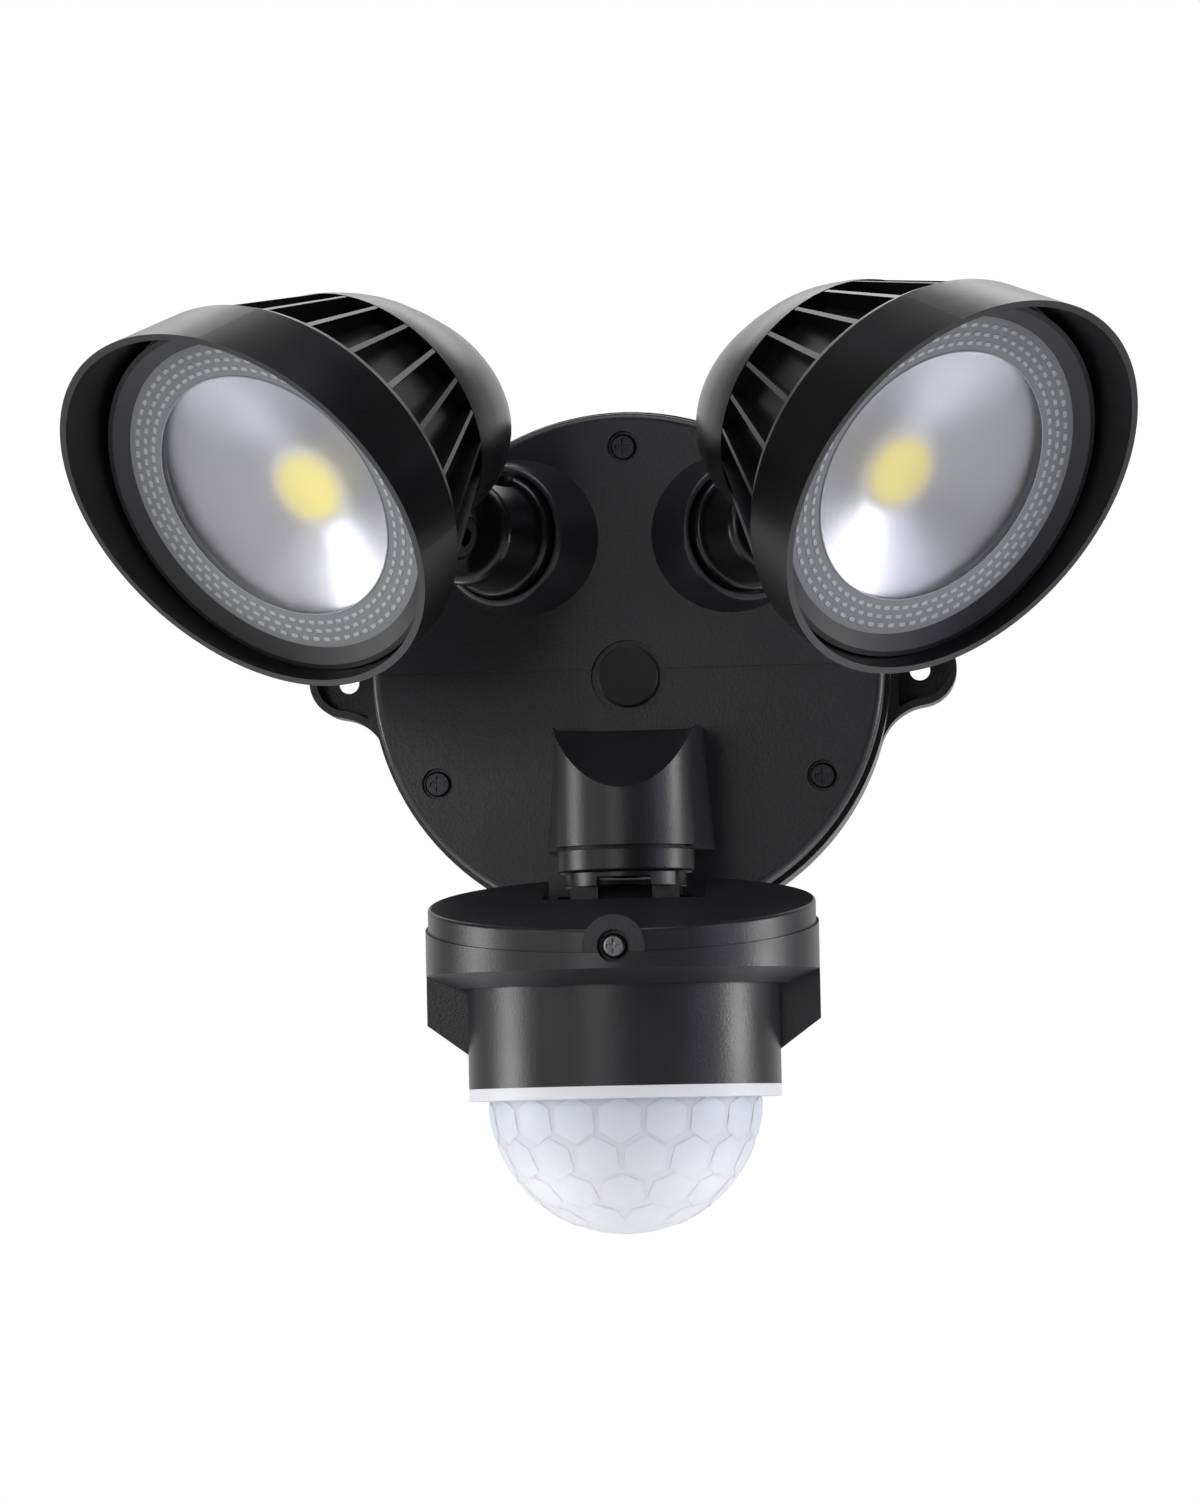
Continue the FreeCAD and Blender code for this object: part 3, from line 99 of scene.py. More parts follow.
# %% Camera
film_width = 36              # millimetres, as on a small film camera
camera_data = bpy.data.cameras.new("camera")
camera_data.sensor_fit = "HORIZONTAL"
camera_data.sensor_width = film_width
camera_data.lens = film_width * pixels_per_metre * camera_distance / photo_width
camera_data.clip_start = 0.05
camera_data.clip_end = 50
camera = bpy.data.objects.new("camera", camera_data)
bpy.context.scene.collection.objects.link(camera)
axes = Matrix((camera_right, camera_up, -forward)).transposed().to_4x4()
camera.matrix_world = Matrix.Translation(camera_place) @ axes
bpy.context.scene.camera = camera
bpy.context.scene.view_settings.view_transform = "Standard"
print("lens", round(camera_data.lens, 1), "mm")

# %% [markdown]
# ## Two small helpers for materials
# Colours are easier to pick as web colours, but a shader counts light in linear steps, so one
# function turns a hex value into linear red, green and blue. Nodes could be added and joined line
# by line. One function that adds a node with its settings and its joins keeps each material short
# enough to read from top to bottom.


# %% Colour helper
def linear(hex_colour):
    """An sRGB hex colour as linear red, green, blue and alpha."""
    channels = [int(hex_colour[i:i + 2], 16) / 255 for i in (1, 3, 5)]
    return [c / 12.92 if c <= 0.04045 else ((c + 0.055) / 1.055) ** 2.4 for c in channels] + [1]


print("middle grey in linear light:", round(linear("#808080")[0], 3))

# %% Node helper
colour_factor, colour_a, colour_b, mixed_colour = 0, 6, 7, 2   # sockets of a Mix node for colours


def add_node(tree, kind, inputs=None, **settings):
    """Adds a shader node; inputs holds values, or sockets to join to, by the input's name."""
    node = tree.nodes.new("ShaderNode" + kind)
    for name, value in settings.items():
        setattr(node, name, value)
    for name, value in (inputs or {}).items():
        if isinstance(value, bpy.types.NodeSocket):
            tree.links.new(value, node.inputs[name])
        else:
            node.inputs[name].default_value = value
    return node


# %% An empty material
def new_material(name):
    """A node material with a Principled surface; returns material, tree and shader."""
    material = bpy.data.materials.new(name)
    material.use_nodes = True
    tree = material.node_tree
    tree.nodes.clear()
    shader = add_node(tree, "BsdfPrincipled")
    output = add_node(tree, "OutputMaterial", {"Surface": shader.outputs["BSDF"]})
    output.is_active_output = True
    return material, tree, shader


# %% [markdown]
# ## Moulded and painted surfaces
# Nearly everything on this light is black, so a finish is told by its gloss and grain, not by its
# colour. Photographed textures could give that, but they would blur close up. So one function
# makes every finish from noise: two close colours mixed by a slow cloud, a roughness that wanders
# a little as polish does on a real moulding, and a fine grain as a bump. The sizes of grain and
# cloud are given in millimetres. Plastics and enamels bend light alike, with an IOR of about 1.5.

# %% A surface with cloud and grain
cloud_mm = 30.0              # how far apart lighter and darker patches lie
plastic_ior = 1.5


def grained_surface(name, colour, colour_2, roughness, wander=0.04, grain_mm=0.6, grain=0.05):
    """A dielectric surface whose colour, gloss and grain come from real sizes."""
    material, tree, shader = new_material(name)
    place = add_node(tree, "TexCoord").outputs["Object"]
    cloud = add_node(tree, "TexNoise", {"Vector": place, "Scale": 1 / (cloud_mm * MM),
                                        "Detail": 3.0}).outputs["Fac"]
    tint = add_node(tree, "Mix", {colour_factor: cloud, colour_a: linear(colour),
                                  colour_b: linear(colour_2)}, data_type="RGBA")
    tree.links.new(tint.outputs[mixed_colour], shader.inputs["Base Color"])
    gloss = add_node(tree, "MapRange", {"Value": cloud, "From Min": 0.3, "From Max": 0.7,
                                        "To Min": roughness - wander,
                                        "To Max": roughness + wander})
    tree.links.new(gloss.outputs["Result"], shader.inputs["Roughness"])
    fine = add_node(tree, "TexNoise", {"Vector": place, "Scale": 1 / (grain_mm * MM),
                                       "Detail": 2.0}).outputs["Fac"]
    bump = add_node(tree, "Bump", {"Height": fine, "Strength": grain,
                                   "Distance": grain_mm * MM})
    tree.links.new(bump.outputs["Normal"], shader.inputs["Normal"])
    shader.inputs["IOR"].default_value = plastic_ior
    return material


# %% A bare metal
# Plated, blackened and milled metal has a grain of a few hundredths of a millimetre. That is too
# fine to show, so it is drawn at 0.8 mm. The IOR stays at its default, as a metal's should.
def metal_surface(name, colour, roughness, wander=0.05, grain_mm=0.8, grain=0.05):
    """The same cloud and grain on a full metal."""
    material = grained_surface(name, colour, colour, roughness, wander, grain_mm, grain)
    material.node_tree.nodes["Principled BSDF"].inputs["Metallic"].default_value = 1
    return material


# %% [markdown]
# ## The painted castings
# The lamp heads and arms are pressure die cast in aluminium and sprayed with black enamel. Paint
# hides the metal, so this is no metal to the eye: it could be built as a coat over a metal, but a
# plain glossy dielectric looks the same and is simpler.

# %% Enamel
finish = {}
# The wet film levels out before it is baked. The eye gets a hard gloss with a faint orange peel,
# whose waves are about a millimetre long on the real paint too.
finish["painted_black"] = grained_surface(
    "gloss black enamel on aluminium", "#08080a", "#0b0b0d",
    roughness=0.3, wander=0.03, grain_mm=1.2, grain=0.015)
print("finishes so far:", len(finish))

# %% [markdown]
# ## The moulded plastics
# Cover, box and sensor are injection moulded in ABS. Their moulds were spark eroded, which leaves
# a fine even grain that turns the gloss to satin. The real grain is about a tenth of a millimetre
# and wouldn't show from where the camera stands, so it is drawn several times as coarse.

# %% Black plastics
# ABS, moulded in a grained mould: satin. Its colour is a touch lighter than the paint beside it:
# partly the plastic's own dark grey, partly painted sheen for the soft glow of the lamps on it.
finish["satin_black_plastic"] = grained_surface(
    "satin black moulded ABS with painted sheen", "#19191c", "#1e1e22", roughness=0.38, grain_mm=0.7, grain=0.06)
# The same ABS where it lies in shade, on the back box and the neck: its colour is set a deeper
# black, as painted shade.
finish["black_plastic"] = grained_surface(
    "black moulded ABS", "#0d0d0f", "#111113", roughness=0.36, grain_mm=0.7, grain=0.06)
# Polycarbonate ring round each lens, moulded in a duller mould: it hardly mirrors anything.
finish["slate_plastic"] = grained_surface(
    "slate grey polycarbonate", "#141418", "#19191d", roughness=0.5, grain_mm=0.7)
# Nylon knobs, moulded small and left plain: waxy, a little rougher than the drum around them.
finish["knob_plastic"] = grained_surface(
    "black nylon", "#121214", "#161618", roughness=0.42, grain_mm=0.5, grain=0.08)
print("finishes so far:", len(finish))

# %% [markdown]
# ## Rubber and steel
# Thin lines and small heads tell how the light is put together: matt rubber where it is sealed,
# and steel where it is screwed. Steel is made as a full metal, whose colour is the colour of what
# it mirrors. A black dielectric would look like a plastic pin.

# %% Seals
# Rubber, pressed and cured: it has no highlight, only a soft sheen.
finish["black_rubber"] = grained_surface(
    "matt black rubber", "#0c0c0c", "#101010", roughness=0.6, wander=0.05, grain_mm=0.5, grain=0.1)

# %% Fasteners
# Steel blackened in a hot bath: dark, but with the sharp glint of a metal.
finish["black_steel"] = metal_surface("blackened steel", "#3a3a3e", roughness=0.35)
# The sensor's screw is turned often, and the driver has rubbed its head bright.
finish["worn_steel"] = metal_surface(
    "blackened steel, worn by the driver", "#77777a", roughness=0.3)
# Steel with an electroplated coat of zinc: pale and slightly cloudy.
finish["zinc_steel"] = metal_surface("zinc plated steel", "#a9abad", roughness=0.32)
print("finishes so far:", len(finish))

# %% [markdown]
# ## What lies inside
# The driver board, its parts and the emitters' boards aren't seen in the photo, but they are
# there when the cover comes off. They could all share one grey, but then an opened light would
# look unfinished, so each gets its own plain finish.

# %% Finishes of the inner parts
# Lacquers and films have shallow ripples of about half a millimetre, the helper's usual grain.
# Aluminium plate, milled flat: fine bright cutter marks.
finish["plain_aluminium"] = metal_surface("milled aluminium", "#b9bbbd", roughness=0.38)
# Solder mask is a lacquer that is printed on a board and cured: smooth and a little glossy.
finish["led_board_aluminium"] = grained_surface(
    "white solder mask on aluminium", "#e4e4e0", "#dcdcd8", roughness=0.35)
finish["circuit_board"] = grained_surface(
    "green solder mask", "#0f4a2a", "#0c3f24", roughness=0.3)
# Stacked iron sheets, dipped in lacquer: dark brown with uneven gloss.
finish["transformer_core"] = grained_surface(
    "lacquered transformer iron", "#3a322c", "#2c2622", roughness=0.4)
# Plastic film, shrunk tight round a can: the glossiest thing inside.
finish["capacitor_sleeve"] = grained_surface(
    "capacitor sleeve", "#101a33", "#0d162c", roughness=0.25)
# Polyamide, moulded without a dye: milky and waxy.
finish["terminal_plastic"] = grained_surface(
    "pale polyamide", "#cfcfc8", "#c6c6bf", roughness=0.4)
print("finishes so far:", len(finish))

# %% [markdown]
# ## The emitter and its reflector
# A round dab of silicone, filled with yellow phosphor, covers the emitter. Unlit, it is a plain
# pale yellow. The dish around it is pressed from bright aluminium and lightly anodised. It could
# be a perfect mirror, but the real one is smooth enough to show the lamps as soft patches, and
# rough enough to blur them.

# %% Phosphor and reflector metal
# Silicone, poured and cured: soft looking, with a dull sheen.
finish["yellow_phosphor"] = grained_surface(
    "yellow phosphor", "#f7ea86", "#f2df6c", roughness=0.45)
# Pressed sheet keeps shallow waves of a millimetre or two, which stir the soft patches.
finish["bright_aluminium"] = metal_surface(
    "satin anodised aluminium", "#a8a8ac", roughness=0.36, wander=0.03, grain_mm=1.5, grain=0.03)
print("finishes so far:", len(finish))

# %% [markdown]
# ## Where each head lies
# A head's own directions follow from its two joints: the arm's axis points along the arm, the
# knuckle's pin lies across it, and the head is tilted about that pin. At the tilt's first stop the
# head looks along the arm, so the joint's range says how far it is turned at rest. They could be
# typed in as numbers, but read from the joints they are right on both sides.

# %% Directions of the two heads
pin_setback = 49.0 * MM      # from the lens's face back to the knuckle's pin
pin_drop = 35.4 * MM         # from the lens's axis down to the pin


def head_place(side):
    """Lens centre, pin direction, top direction and the way the head looks."""
    along = Vector(joints[side + "_swivel"]["axis"])
    knuckle = joints[side + "_tilt"]
    pin = Vector(knuckle["axis"])
    across = along.cross(pin)
    tilt = math.radians(-knuckle["range_deg"][0])
    ahead = along * math.cos(tilt) - across * math.sin(tilt)
    top = along * math.sin(tilt) + across * math.cos(tilt)
    centre = Vector(knuckle["pos_m"]) + ahead * pin_setback + top * pin_drop
    return centre, pin, top, ahead


head = {side: head_place(side) for side in ("left", "right")}
for side, (centre, pin, top, ahead) in head.items():
    print(side, "lens at", [round(v, 4) for v in centre], "looks", [round(v, 3) for v in ahead])


# %% From a head's own frame to the object's
def head_matrix(side):
    """Matrix from a head's own frame (x along the pin, y up, z out of the lens)."""
    centre, pin, top, ahead = head[side]
    return Matrix.Translation(centre) @ Matrix((pin, top, ahead)).transposed().to_4x4()


# %% [markdown]
# ## The lens
# The lens is one moulding of clear polycarbonate. Its rim was textured in the mould, so it looks
# frosted grey, and the window in the middle lets the reflector show, a little softened by the
# sheet. Two pieces could be cut from it, one clear and one frosted. One material does both on the
# one piece: the distance from the lens's own axis says which is which. Lamps shine straight
# through the window, so its shadow is left clear.

# %% Clear window and frosted rim
window_radius = 29.5 * MM
window_edge = 0.15 * MM      # half the width of the step from clear to frosted
window_roughness = 0.3       # enough to blur the dish as the real sheet does
rim_roughness = 0.34
# Polycarbonate has an IOR of 1.58. The thin sheet shifts what lies behind it less than a thick
# glass would, so the value is lower, matched to how the dish shows through the real window.
lens_ior = 1.35


def lens_material(side):
    """Clear inside the window, frosted outside it."""
    material, tree, shader = new_material(side + " clear and frosted polycarbonate")
    place = add_node(tree, "TexCoord").outputs["Object"]
    local = add_node(tree, "Mapping", {"Vector": place, "Location": head[side][0],
                                       "Rotation": head_matrix(side).to_euler()},
                     vector_type="TEXTURE").outputs["Vector"]
    parts = add_node(tree, "SeparateXYZ", {"Vector": local})
    flat = add_node(tree, "CombineXYZ", {"X": parts.outputs["X"], "Y": parts.outputs["Y"]})
    radius = add_node(tree, "VectorMath", {0: flat.outputs["Vector"]}, operation="LENGTH")
    rim = add_node(tree, "MapRange", {"Value": radius.outputs["Value"],
                                      "From Min": window_radius - window_edge,
                                      "From Max": window_radius + window_edge}).outputs["Result"]
    clear = add_node(tree, "Math", {0: 1.0, 1: rim}, operation="SUBTRACT").outputs["Value"]
    shadow = add_node(tree, "LightPath").outputs["Is Shadow Ray"]
    passing = add_node(tree, "Math", {0: clear, 1: shadow}, operation="MULTIPLY").outputs["Value"]
    solid = add_node(tree, "Math", {0: 1.0, 1: passing}, operation="SUBTRACT").outputs["Value"]
    gloss = add_node(tree, "MapRange", {"Value": rim, "To Min": window_roughness,
                                        "To Max": rim_roughness})
    tint = add_node(tree, "Mix", {colour_factor: rim, colour_a: linear("#fbfbfd"),
                                  colour_b: linear("#7b7c7f")}, data_type="RGBA")
    tree.links.new(tint.outputs[mixed_colour], shader.inputs["Base Color"])
    tree.links.new(clear, shader.inputs["Transmission Weight"])
    tree.links.new(solid, shader.inputs["Alpha"])
    tree.links.new(gloss.outputs["Result"], shader.inputs["Roughness"])
    shader.inputs["IOR"].default_value = lens_ior
    return material


# %% [markdown]
# ## The sensor's dome
# The dome is moulded thin in milky polyethylene, which lets heat through. The dark drum behind it
# shows a little near the top, and light from below makes the bottom almost white. Real
# transmission would take long to render without noise. A slow change of colour with height and a
# soft scatter under the surface give the same look: the colour is painted light at the bottom and
# painted shade of the drum near the top.

# %% Milky dome
dome_low, dome_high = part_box("dome_lens")
flange_zone = 1.2 * MM       # height at the top of the dome that the ramp leaves out
# Painted light: the flange's pale colour stands in for the light behind it.
flange_colour = "#dedee3"    # the flange has light behind it, so it is pale again
scatter_depth = 2 * MM       # about the thickness of the wall
milky_roughness = 0.48       # waxy: lamps show on it as wide pale patches


def milky_material(name, low_colour, high_colour):
    """White at the bottom as painted light, a little greyer and bluer towards the drum as painted shade."""
    material, tree, shader = new_material(name)
    place = add_node(tree, "TexCoord").outputs["Object"]
    height = add_node(tree, "SeparateXYZ", {"Vector": place}).outputs["Z"]
    share = add_node(tree, "MapRange", {"Value": height, "From Min": dome_low.z,
                                        "From Max": dome_high.z - flange_zone})
    ramp = add_node(tree, "ValToRGB", {"Fac": share.outputs["Result"]})
    stops = ramp.color_ramp.elements
    stops[0].color = linear(low_colour)
    stops[0].position = 0.35
    stops[1].color = linear(high_colour)
    stops[1].position = 0.94
    stops.new(0.96).color = linear(flange_colour)
    tree.links.new(ramp.outputs["Color"], shader.inputs["Base Color"])
    shader.inputs["Roughness"].default_value = milky_roughness
    shader.inputs["IOR"].default_value = plastic_ior
    shader.inputs["Subsurface Weight"].default_value = 0.15
    shader.inputs["Subsurface Radius"].default_value = (1, 1, 1)
    shader.inputs["Subsurface Scale"].default_value = scatter_depth
    return material


finish["milky_plastic"] = milky_material("milky polyethylene", "#e2e2e7", "#c6c9d1")
print("dome from", round(dome_low.z, 4), "to", round(dome_high.z, 4))

# %% [markdown]
# ## Dress the construction
# Each piece of the frame has a slot that says what it is made of. Finishes could be handed out
# piece by piece, but the slots already hold that list. Two kinds need more: a lens has its own
# material on each side, because its pattern is centred on its own axis, and one screw is worn.

# %% Dress every piece of the frame
slot_of = {part["node"]: part["material_slot"] for part in frame["record"]["subparts"]}
for name, piece in nodes.items():
    slot = slot_of[name]
    if slot == "clear_lens":
        chosen = lens_material(name.split("_")[0])
    elif name == "lid_screw":
        chosen = finish["worn_steel"]
    else:
        chosen = finish[slot]
    piece.data.materials.clear()
    piece.data.materials.append(chosen)
print("dressed", len(nodes), "pieces")

# %% [markdown]
# ## How the extra pieces are modelled
# The construction leaves out the smooth backs of the bells, the dashes on each lens, the lenslets
# of the dome and the scales round the knobs. Each starts as a simple shape at the origin and is
# worked on in edit mode. That makes a pattern, as a foundry would call it. Copies of the pattern,
# each with its own mesh, are carried to their places as finished meshes, so that an object itself
# stays unturned. It would be less work to turn the objects, but then textures would turn as well.


# %% Start and end a pattern
def start_mesh(name, add_primitive, **settings):
    """Adds a primitive at the origin and opens it in edit mode, with everything selected."""
    bpy.ops.object.select_all(action="DESELECT")
    add_primitive(**settings)
    piece = bpy.context.object
    piece.name = name
    bpy.ops.object.mode_set(mode="EDIT")
    bpy.ops.mesh.select_all(action="SELECT")
    return piece


def end_mesh(smooth_angle):
    """Turns all faces outwards, closes edit mode and smooths all but the sharp edges."""
    bpy.ops.mesh.select_all(action="SELECT")
    bpy.ops.mesh.normals_make_consistent(inside=False)
    bpy.ops.object.mode_set(mode="OBJECT")
    bpy.ops.object.shade_smooth_by_angle(angle=math.radians(smooth_angle))


# %% Move, turn, scale and repeat what is selected
origin = (0, 0, 0)


def shift(*millimetres):
    """Moves by millimetres."""
    bpy.ops.transform.translate(value=[v * MM for v in millimetres])


def turn(angle, axis="Z"):
    """Turns about an axis through the origin; with no window, rotate has to be told its centre."""
    bpy.ops.transform.rotate(value=angle, orient_axis=axis, center_override=origin)


def scale_flat(factor, centre=origin):
    """Scales in x and y alone."""
    bpy.ops.transform.resize(value=(factor, factor, 1), center_override=centre)


def spin_copies(count, angle):
    """Repeats round the Z axis in equal steps, the last copy turned by the whole angle."""
    bpy.ops.mesh.spin(steps=count - 1, dupli=True, angle=angle, center=origin, axis=(0, 0, 1))


# %% Place copies of a pattern
def dress(piece, material, body):
    """Gives a finished piece its finish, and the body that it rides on."""
    piece.data.materials.clear()
    piece.data.materials.append(material)
    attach(piece, body)
    print(piece.name, "on", body, "with", len(piece.data.polygons), "faces")


def place_copy(pattern, name, matrix, material, body):
    """Carries a copy of a pattern, with its own mesh, to its place and dresses it."""
    piece = bpy.data.objects.new(name, pattern.data.copy())
    piece.data.name = name
    bpy.context.collection.objects.link(piece)
    piece.data.transform(matrix)
    dress(piece, material, body)


def drop_pattern(pattern):
    """Removes a pattern, mesh and all, when its copies are in place."""
    bpy.data.meshes.remove(pattern.data)


# %% [markdown]
# ## The long back of each bell
# Behind its fins the bell is a smooth dome that sinks towards its end, longer than the plain one
# in the construction. It could be turned on a lathe, but a turned form can't sink. So it starts as
# a disc at the back of the fins, which is extruded and drawn in ring by ring, as a potter closes a
# jar. Its underside is cut flat, to leave the arm's tongue free.

# %% Rings of the bell back
bell_rings = (               # depth behind the lens, height of the centre, radius, in millimetres
    (36.0, 0.0, 30.8), (39.0, -0.9, 30.35), (42.0, -1.85, 29.6), (45.0, -3.05, 28.9),
    (48.0, -4.2, 28.0), (54.0, -6.5, 25.6), (60.0, -8.6, 22.1), (65.0, -10.2, 18.0),
    (69.0, -11.3, 13.4), (72.0, -12.1, 8.2), (73.6, -12.5, 3.0))
bell_flat = -25.2            # height of the flat underside
print("bell back:", round(bell_rings[-1][0] - bell_rings[0][0], 1), "mm long")

# %% Bell backs
depth, height, radius = bell_rings[0]
bell = start_mesh("bell_back", bpy.ops.mesh.primitive_circle_add, vertices=64,
                  radius=radius * MM, fill_type="NGON")
shift(0, height, -depth)
for next_depth, next_height, next_radius in bell_rings[1:]:
    bpy.ops.mesh.extrude_region_move(TRANSFORM_OT_translate={
        "value": (0, (next_height - height) * MM, (depth - next_depth) * MM)})
    scale_flat(next_radius / radius, (0, next_height * MM, -next_depth * MM))
    depth, height, radius = next_depth, next_height, next_radius
bpy.ops.mesh.select_all(action="SELECT")
bpy.ops.mesh.bisect(plane_co=(0, bell_flat * MM, 0), plane_no=(0, 1, 0), use_fill=True,
                    clear_inner=True)
end_mesh(smooth_angle=30)
for side in ("left", "right"):
    place_copy(bell, side + "_bell_back", head_matrix(side), finish["painted_black"],
               side + "_head")
drop_pattern(bell)

# %% [markdown]
# ## The pattern on the lens rim
# Three rows of short raised dashes run round the rim, the middle row set half a step on. They were
# cut into the mould's steel, so all are alike. A bump texture could draw them, but real edges
# catch the light from every side. Three pads are modelled and then spun round the axis.

# %% Finishes of the lens relief
# Polycarbonate again. The tops of the dashes are polished and glossier than the frost. Their
# colour is set brighter than the frost as a painted highlight, where they catch the light.
lens_mark = grained_surface("moulded polycarbonate relief with painted highlight", "#a9abad", "#9ea0a2",
                            roughness=0.3, wander=0.03, grain_mm=1.0, grain=0.02)
# The bead is the sharp lip of the polished window. Its colour is set a lighter grey as a painted
# glint, so that it shows as a thin bright line.
lens_bead = grained_surface("moulded bead with painted glint", "#8f959b", "#8a9096",
                            roughness=0.2, wander=0.02, grain_mm=1.0, grain=0.02)

# %% Dashes
dash_count = 76              # in each row
dash_size = (0.95, 1.7, 0.3)
dash_bevel = 0.13
dash_rows = (31.5, 33.6, 35.7)   # radii of the rows
half_step = math.pi / dash_count
dashes = start_mesh("dashes", bpy.ops.mesh.primitive_cube_add, size=MM)
bpy.ops.transform.resize(value=dash_size)
bpy.ops.mesh.bevel(offset=dash_bevel * MM, segments=1)
shift(dash_rows[0], 0, 0)
bpy.ops.mesh.duplicate()
shift(dash_rows[1] - dash_rows[0], 0, 0)
turn(half_step)
bpy.ops.mesh.duplicate()
turn(half_step)
scale_flat(dash_rows[2] / dash_rows[1])
bpy.ops.mesh.select_all(action="SELECT")
spin_copies(dash_count, math.tau * (dash_count - 1) / dash_count)   # the last is one step short
end_mesh(smooth_angle=40)
print("dashes:", dash_count * len(dash_rows))

# %% [markdown]
# ## The bead round the window
# A thin bead marks the edge of the window. A torus could stand for it, but it starts as what a
# mould maker would draw, the bead's own small round section, and is spun once round the axis.

# %% Bead
bead_radius = 0.2
bead_lift = 0.02             # from the lens's face to the bead's centre
bead_steps = 120
bead = start_mesh("bead", bpy.ops.mesh.primitive_circle_add, vertices=8, radius=bead_radius * MM)
turn(math.pi / 2, "X")
shift(window_radius / MM, 0, bead_lift)
bpy.ops.mesh.spin(steps=bead_steps, angle=math.tau, center=origin, axis=(0, 0, 1))
bpy.ops.mesh.select_all(action="SELECT")
bpy.ops.mesh.remove_doubles(threshold=0.01 * MM)   # closes the ring where it meets its start
end_mesh(smooth_angle=80)
print("bead:", len(bead.data.polygons), "faces")

# %% Put dashes and bead on both lenses
for side in ("left", "right"):
    place_copy(dashes, side + "_lens_dashes", head_matrix(side), lens_mark, side + "_head")
    place_copy(bead, side + "_lens_bead", head_matrix(side), lens_bead, side + "_head")
drop_pattern(dashes)
drop_pattern(bead)

# %% [markdown]
# ## The dome's lenslets
# The dome gathers heat from many directions, so its inside is covered with hexagonal lenslets that
# show through the milky wall. A geodesic ball could give them, but it has pentagons among its
# hexagons, and no rows. The photo shows rows, each half a step on from the last. One lenslet is a
# hexagon, inset twice and closed to a point. Its copies are laid on the dome's ball and raised to
# a low pillow, flatter in each lower row, where the real ones fade into the white.

# %% One flat lenslet
lenslet_half = 5.3           # from the centre to a corner
soft_edge = 0.5
shoulder = 1.6
pattern = start_mesh("flat_lenslet", bpy.ops.mesh.primitive_circle_add, vertices=6,
                     radius=lenslet_half * MM, fill_type="NGON")
bpy.ops.mesh.subdivide(number_cuts=1)
bpy.ops.mesh.inset(thickness=soft_edge * MM)
bpy.ops.mesh.inset(thickness=shoulder * MM)
bpy.ops.mesh.poke()
bpy.ops.object.mode_set(mode="OBJECT")
print("one lenslet:", len(pattern.data.polygons), "faces")

# %% Lay a copy on the ball
dome_radius = 30.2 * MM
dome_centre = Vector(((dome_low.x + dome_high.x) / 2, (dome_low.y + dome_high.y) / 2,
                      dome_low.z + dome_radius))
sensor_turn = math.asin(joints["sensor_tilt"]["axis"][1])
lenslet_gap = 0.05 * MM      # how far the lenslet's edge stands off the dome


def lay_lenslet(latitude, around, bulge):
    """A copy of the flat lenslet, curved like the ball and turned to its place on it."""
    tile = bpy.data.objects.new("lenslet", pattern.data.copy())
    bpy.context.collection.objects.link(tile)
    for vertex in tile.data.vertices:
        out = vertex.co.xy.length
        lift = math.cos(min(1.0, out / (lenslet_half * MM)) * math.pi / 2) * bulge * MM
        vertex.co.z = math.sqrt(dome_radius ** 2 - out ** 2) + lenslet_gap + lift
    tip = Matrix.Rotation(math.radians(90 - latitude), 4, "X")
    tile.data.transform(Matrix.Translation(dome_centre) @ (Matrix.Rotation(around, 4, "Z") @ tip))
    return tile


# %% Lenslets in rows
lenslet_rows = (             # latitude, number in the row, offset in steps, height of the pillow
    (-9.5, 18, 0.0, 0.30), (-26.5, 16, 0.5, 0.2), (-43.5, 13, 0.0, 0.16), (-60.5, 9, 0.5, 0.12))
lenslets = []
for latitude, count, offset, bulge in lenslet_rows:
    for k in range(count):
        around = math.tau * (k + offset) / count + sensor_turn
        lenslets.append(lay_lenslet(latitude, around, bulge))
drop_pattern(pattern)
print("lenslets:", len(lenslets))

# %% Join them and dress them
# The flat hexagon looks up, so its copies look outwards, and their faces are left as they are.
bpy.ops.object.select_all(action="DESELECT")
for tile in lenslets:
    tile.select_set(True)
bpy.context.view_layer.objects.active = lenslets[0]
bpy.ops.object.join()
bpy.ops.object.shade_smooth_by_angle(angle=math.radians(60))
dome_relief = bpy.context.object
dome_relief.name = "dome_lenslets"
# The same polyethylene, thicker: more light stays in it, so its colour is set paler than the wall
# between, as painted light, with the same painted light and shade by height as the wall.
thick_milky = milky_material("thick milky polyethylene", "#e4e4e9", "#ccd2dc")
dress(dome_relief, thick_milky, "sensor_head")

# %% [markdown]
# ## Scale marks of the two knobs
# Each knob on the sensor's underside sets a value, so the pad round it carries seven short raised
# bars, from its first stop to its last. They could be printed, but on such a part they are raised
# in the mould. One bar is modelled, and turned copies make the scale.

# %% Knob scales
pad_height = -88.4           # underside of the pad that the knobs stand on
bar_size = (0.32, 0.7, 0.3)
bar_bevel = 0.06
bar_circle = 4.45            # from the knob's centre to the middle of a bar
bar_count = 7
first_stop = math.radians(135)
scale = start_mesh("scale", bpy.ops.mesh.primitive_cube_add, size=MM)
bpy.ops.transform.resize(value=bar_size)
bpy.ops.mesh.bevel(offset=bar_bevel * MM, segments=1)
shift(0, bar_circle, 0)
turn(first_stop)
spin_copies(bar_count, 2 * first_stop)
end_mesh(smooth_angle=40)
for knob in ("time_knob", "range_knob"):
    low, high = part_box(knob)
    spot = Matrix.Translation(((low.x + high.x) / 2, (low.y + high.y) / 2, pad_height * MM))
    place_copy(scale, knob + "_scale", spot, finish["satin_black_plastic"], "sensor_head")
drop_pattern(scale)

# %% [markdown]
# ## The room around
# A black glossy object is lit by what it mirrors. Far behind the object all is white, so surfaces
# that are seen at a glancing angle take a bright rim. In front the room is dark, because a white
# one would turn the black to grey. A backdrop could be built, but the world can do it alone: it
# knows whether the camera or a shiny surface is asking, and shows the camera pure white.

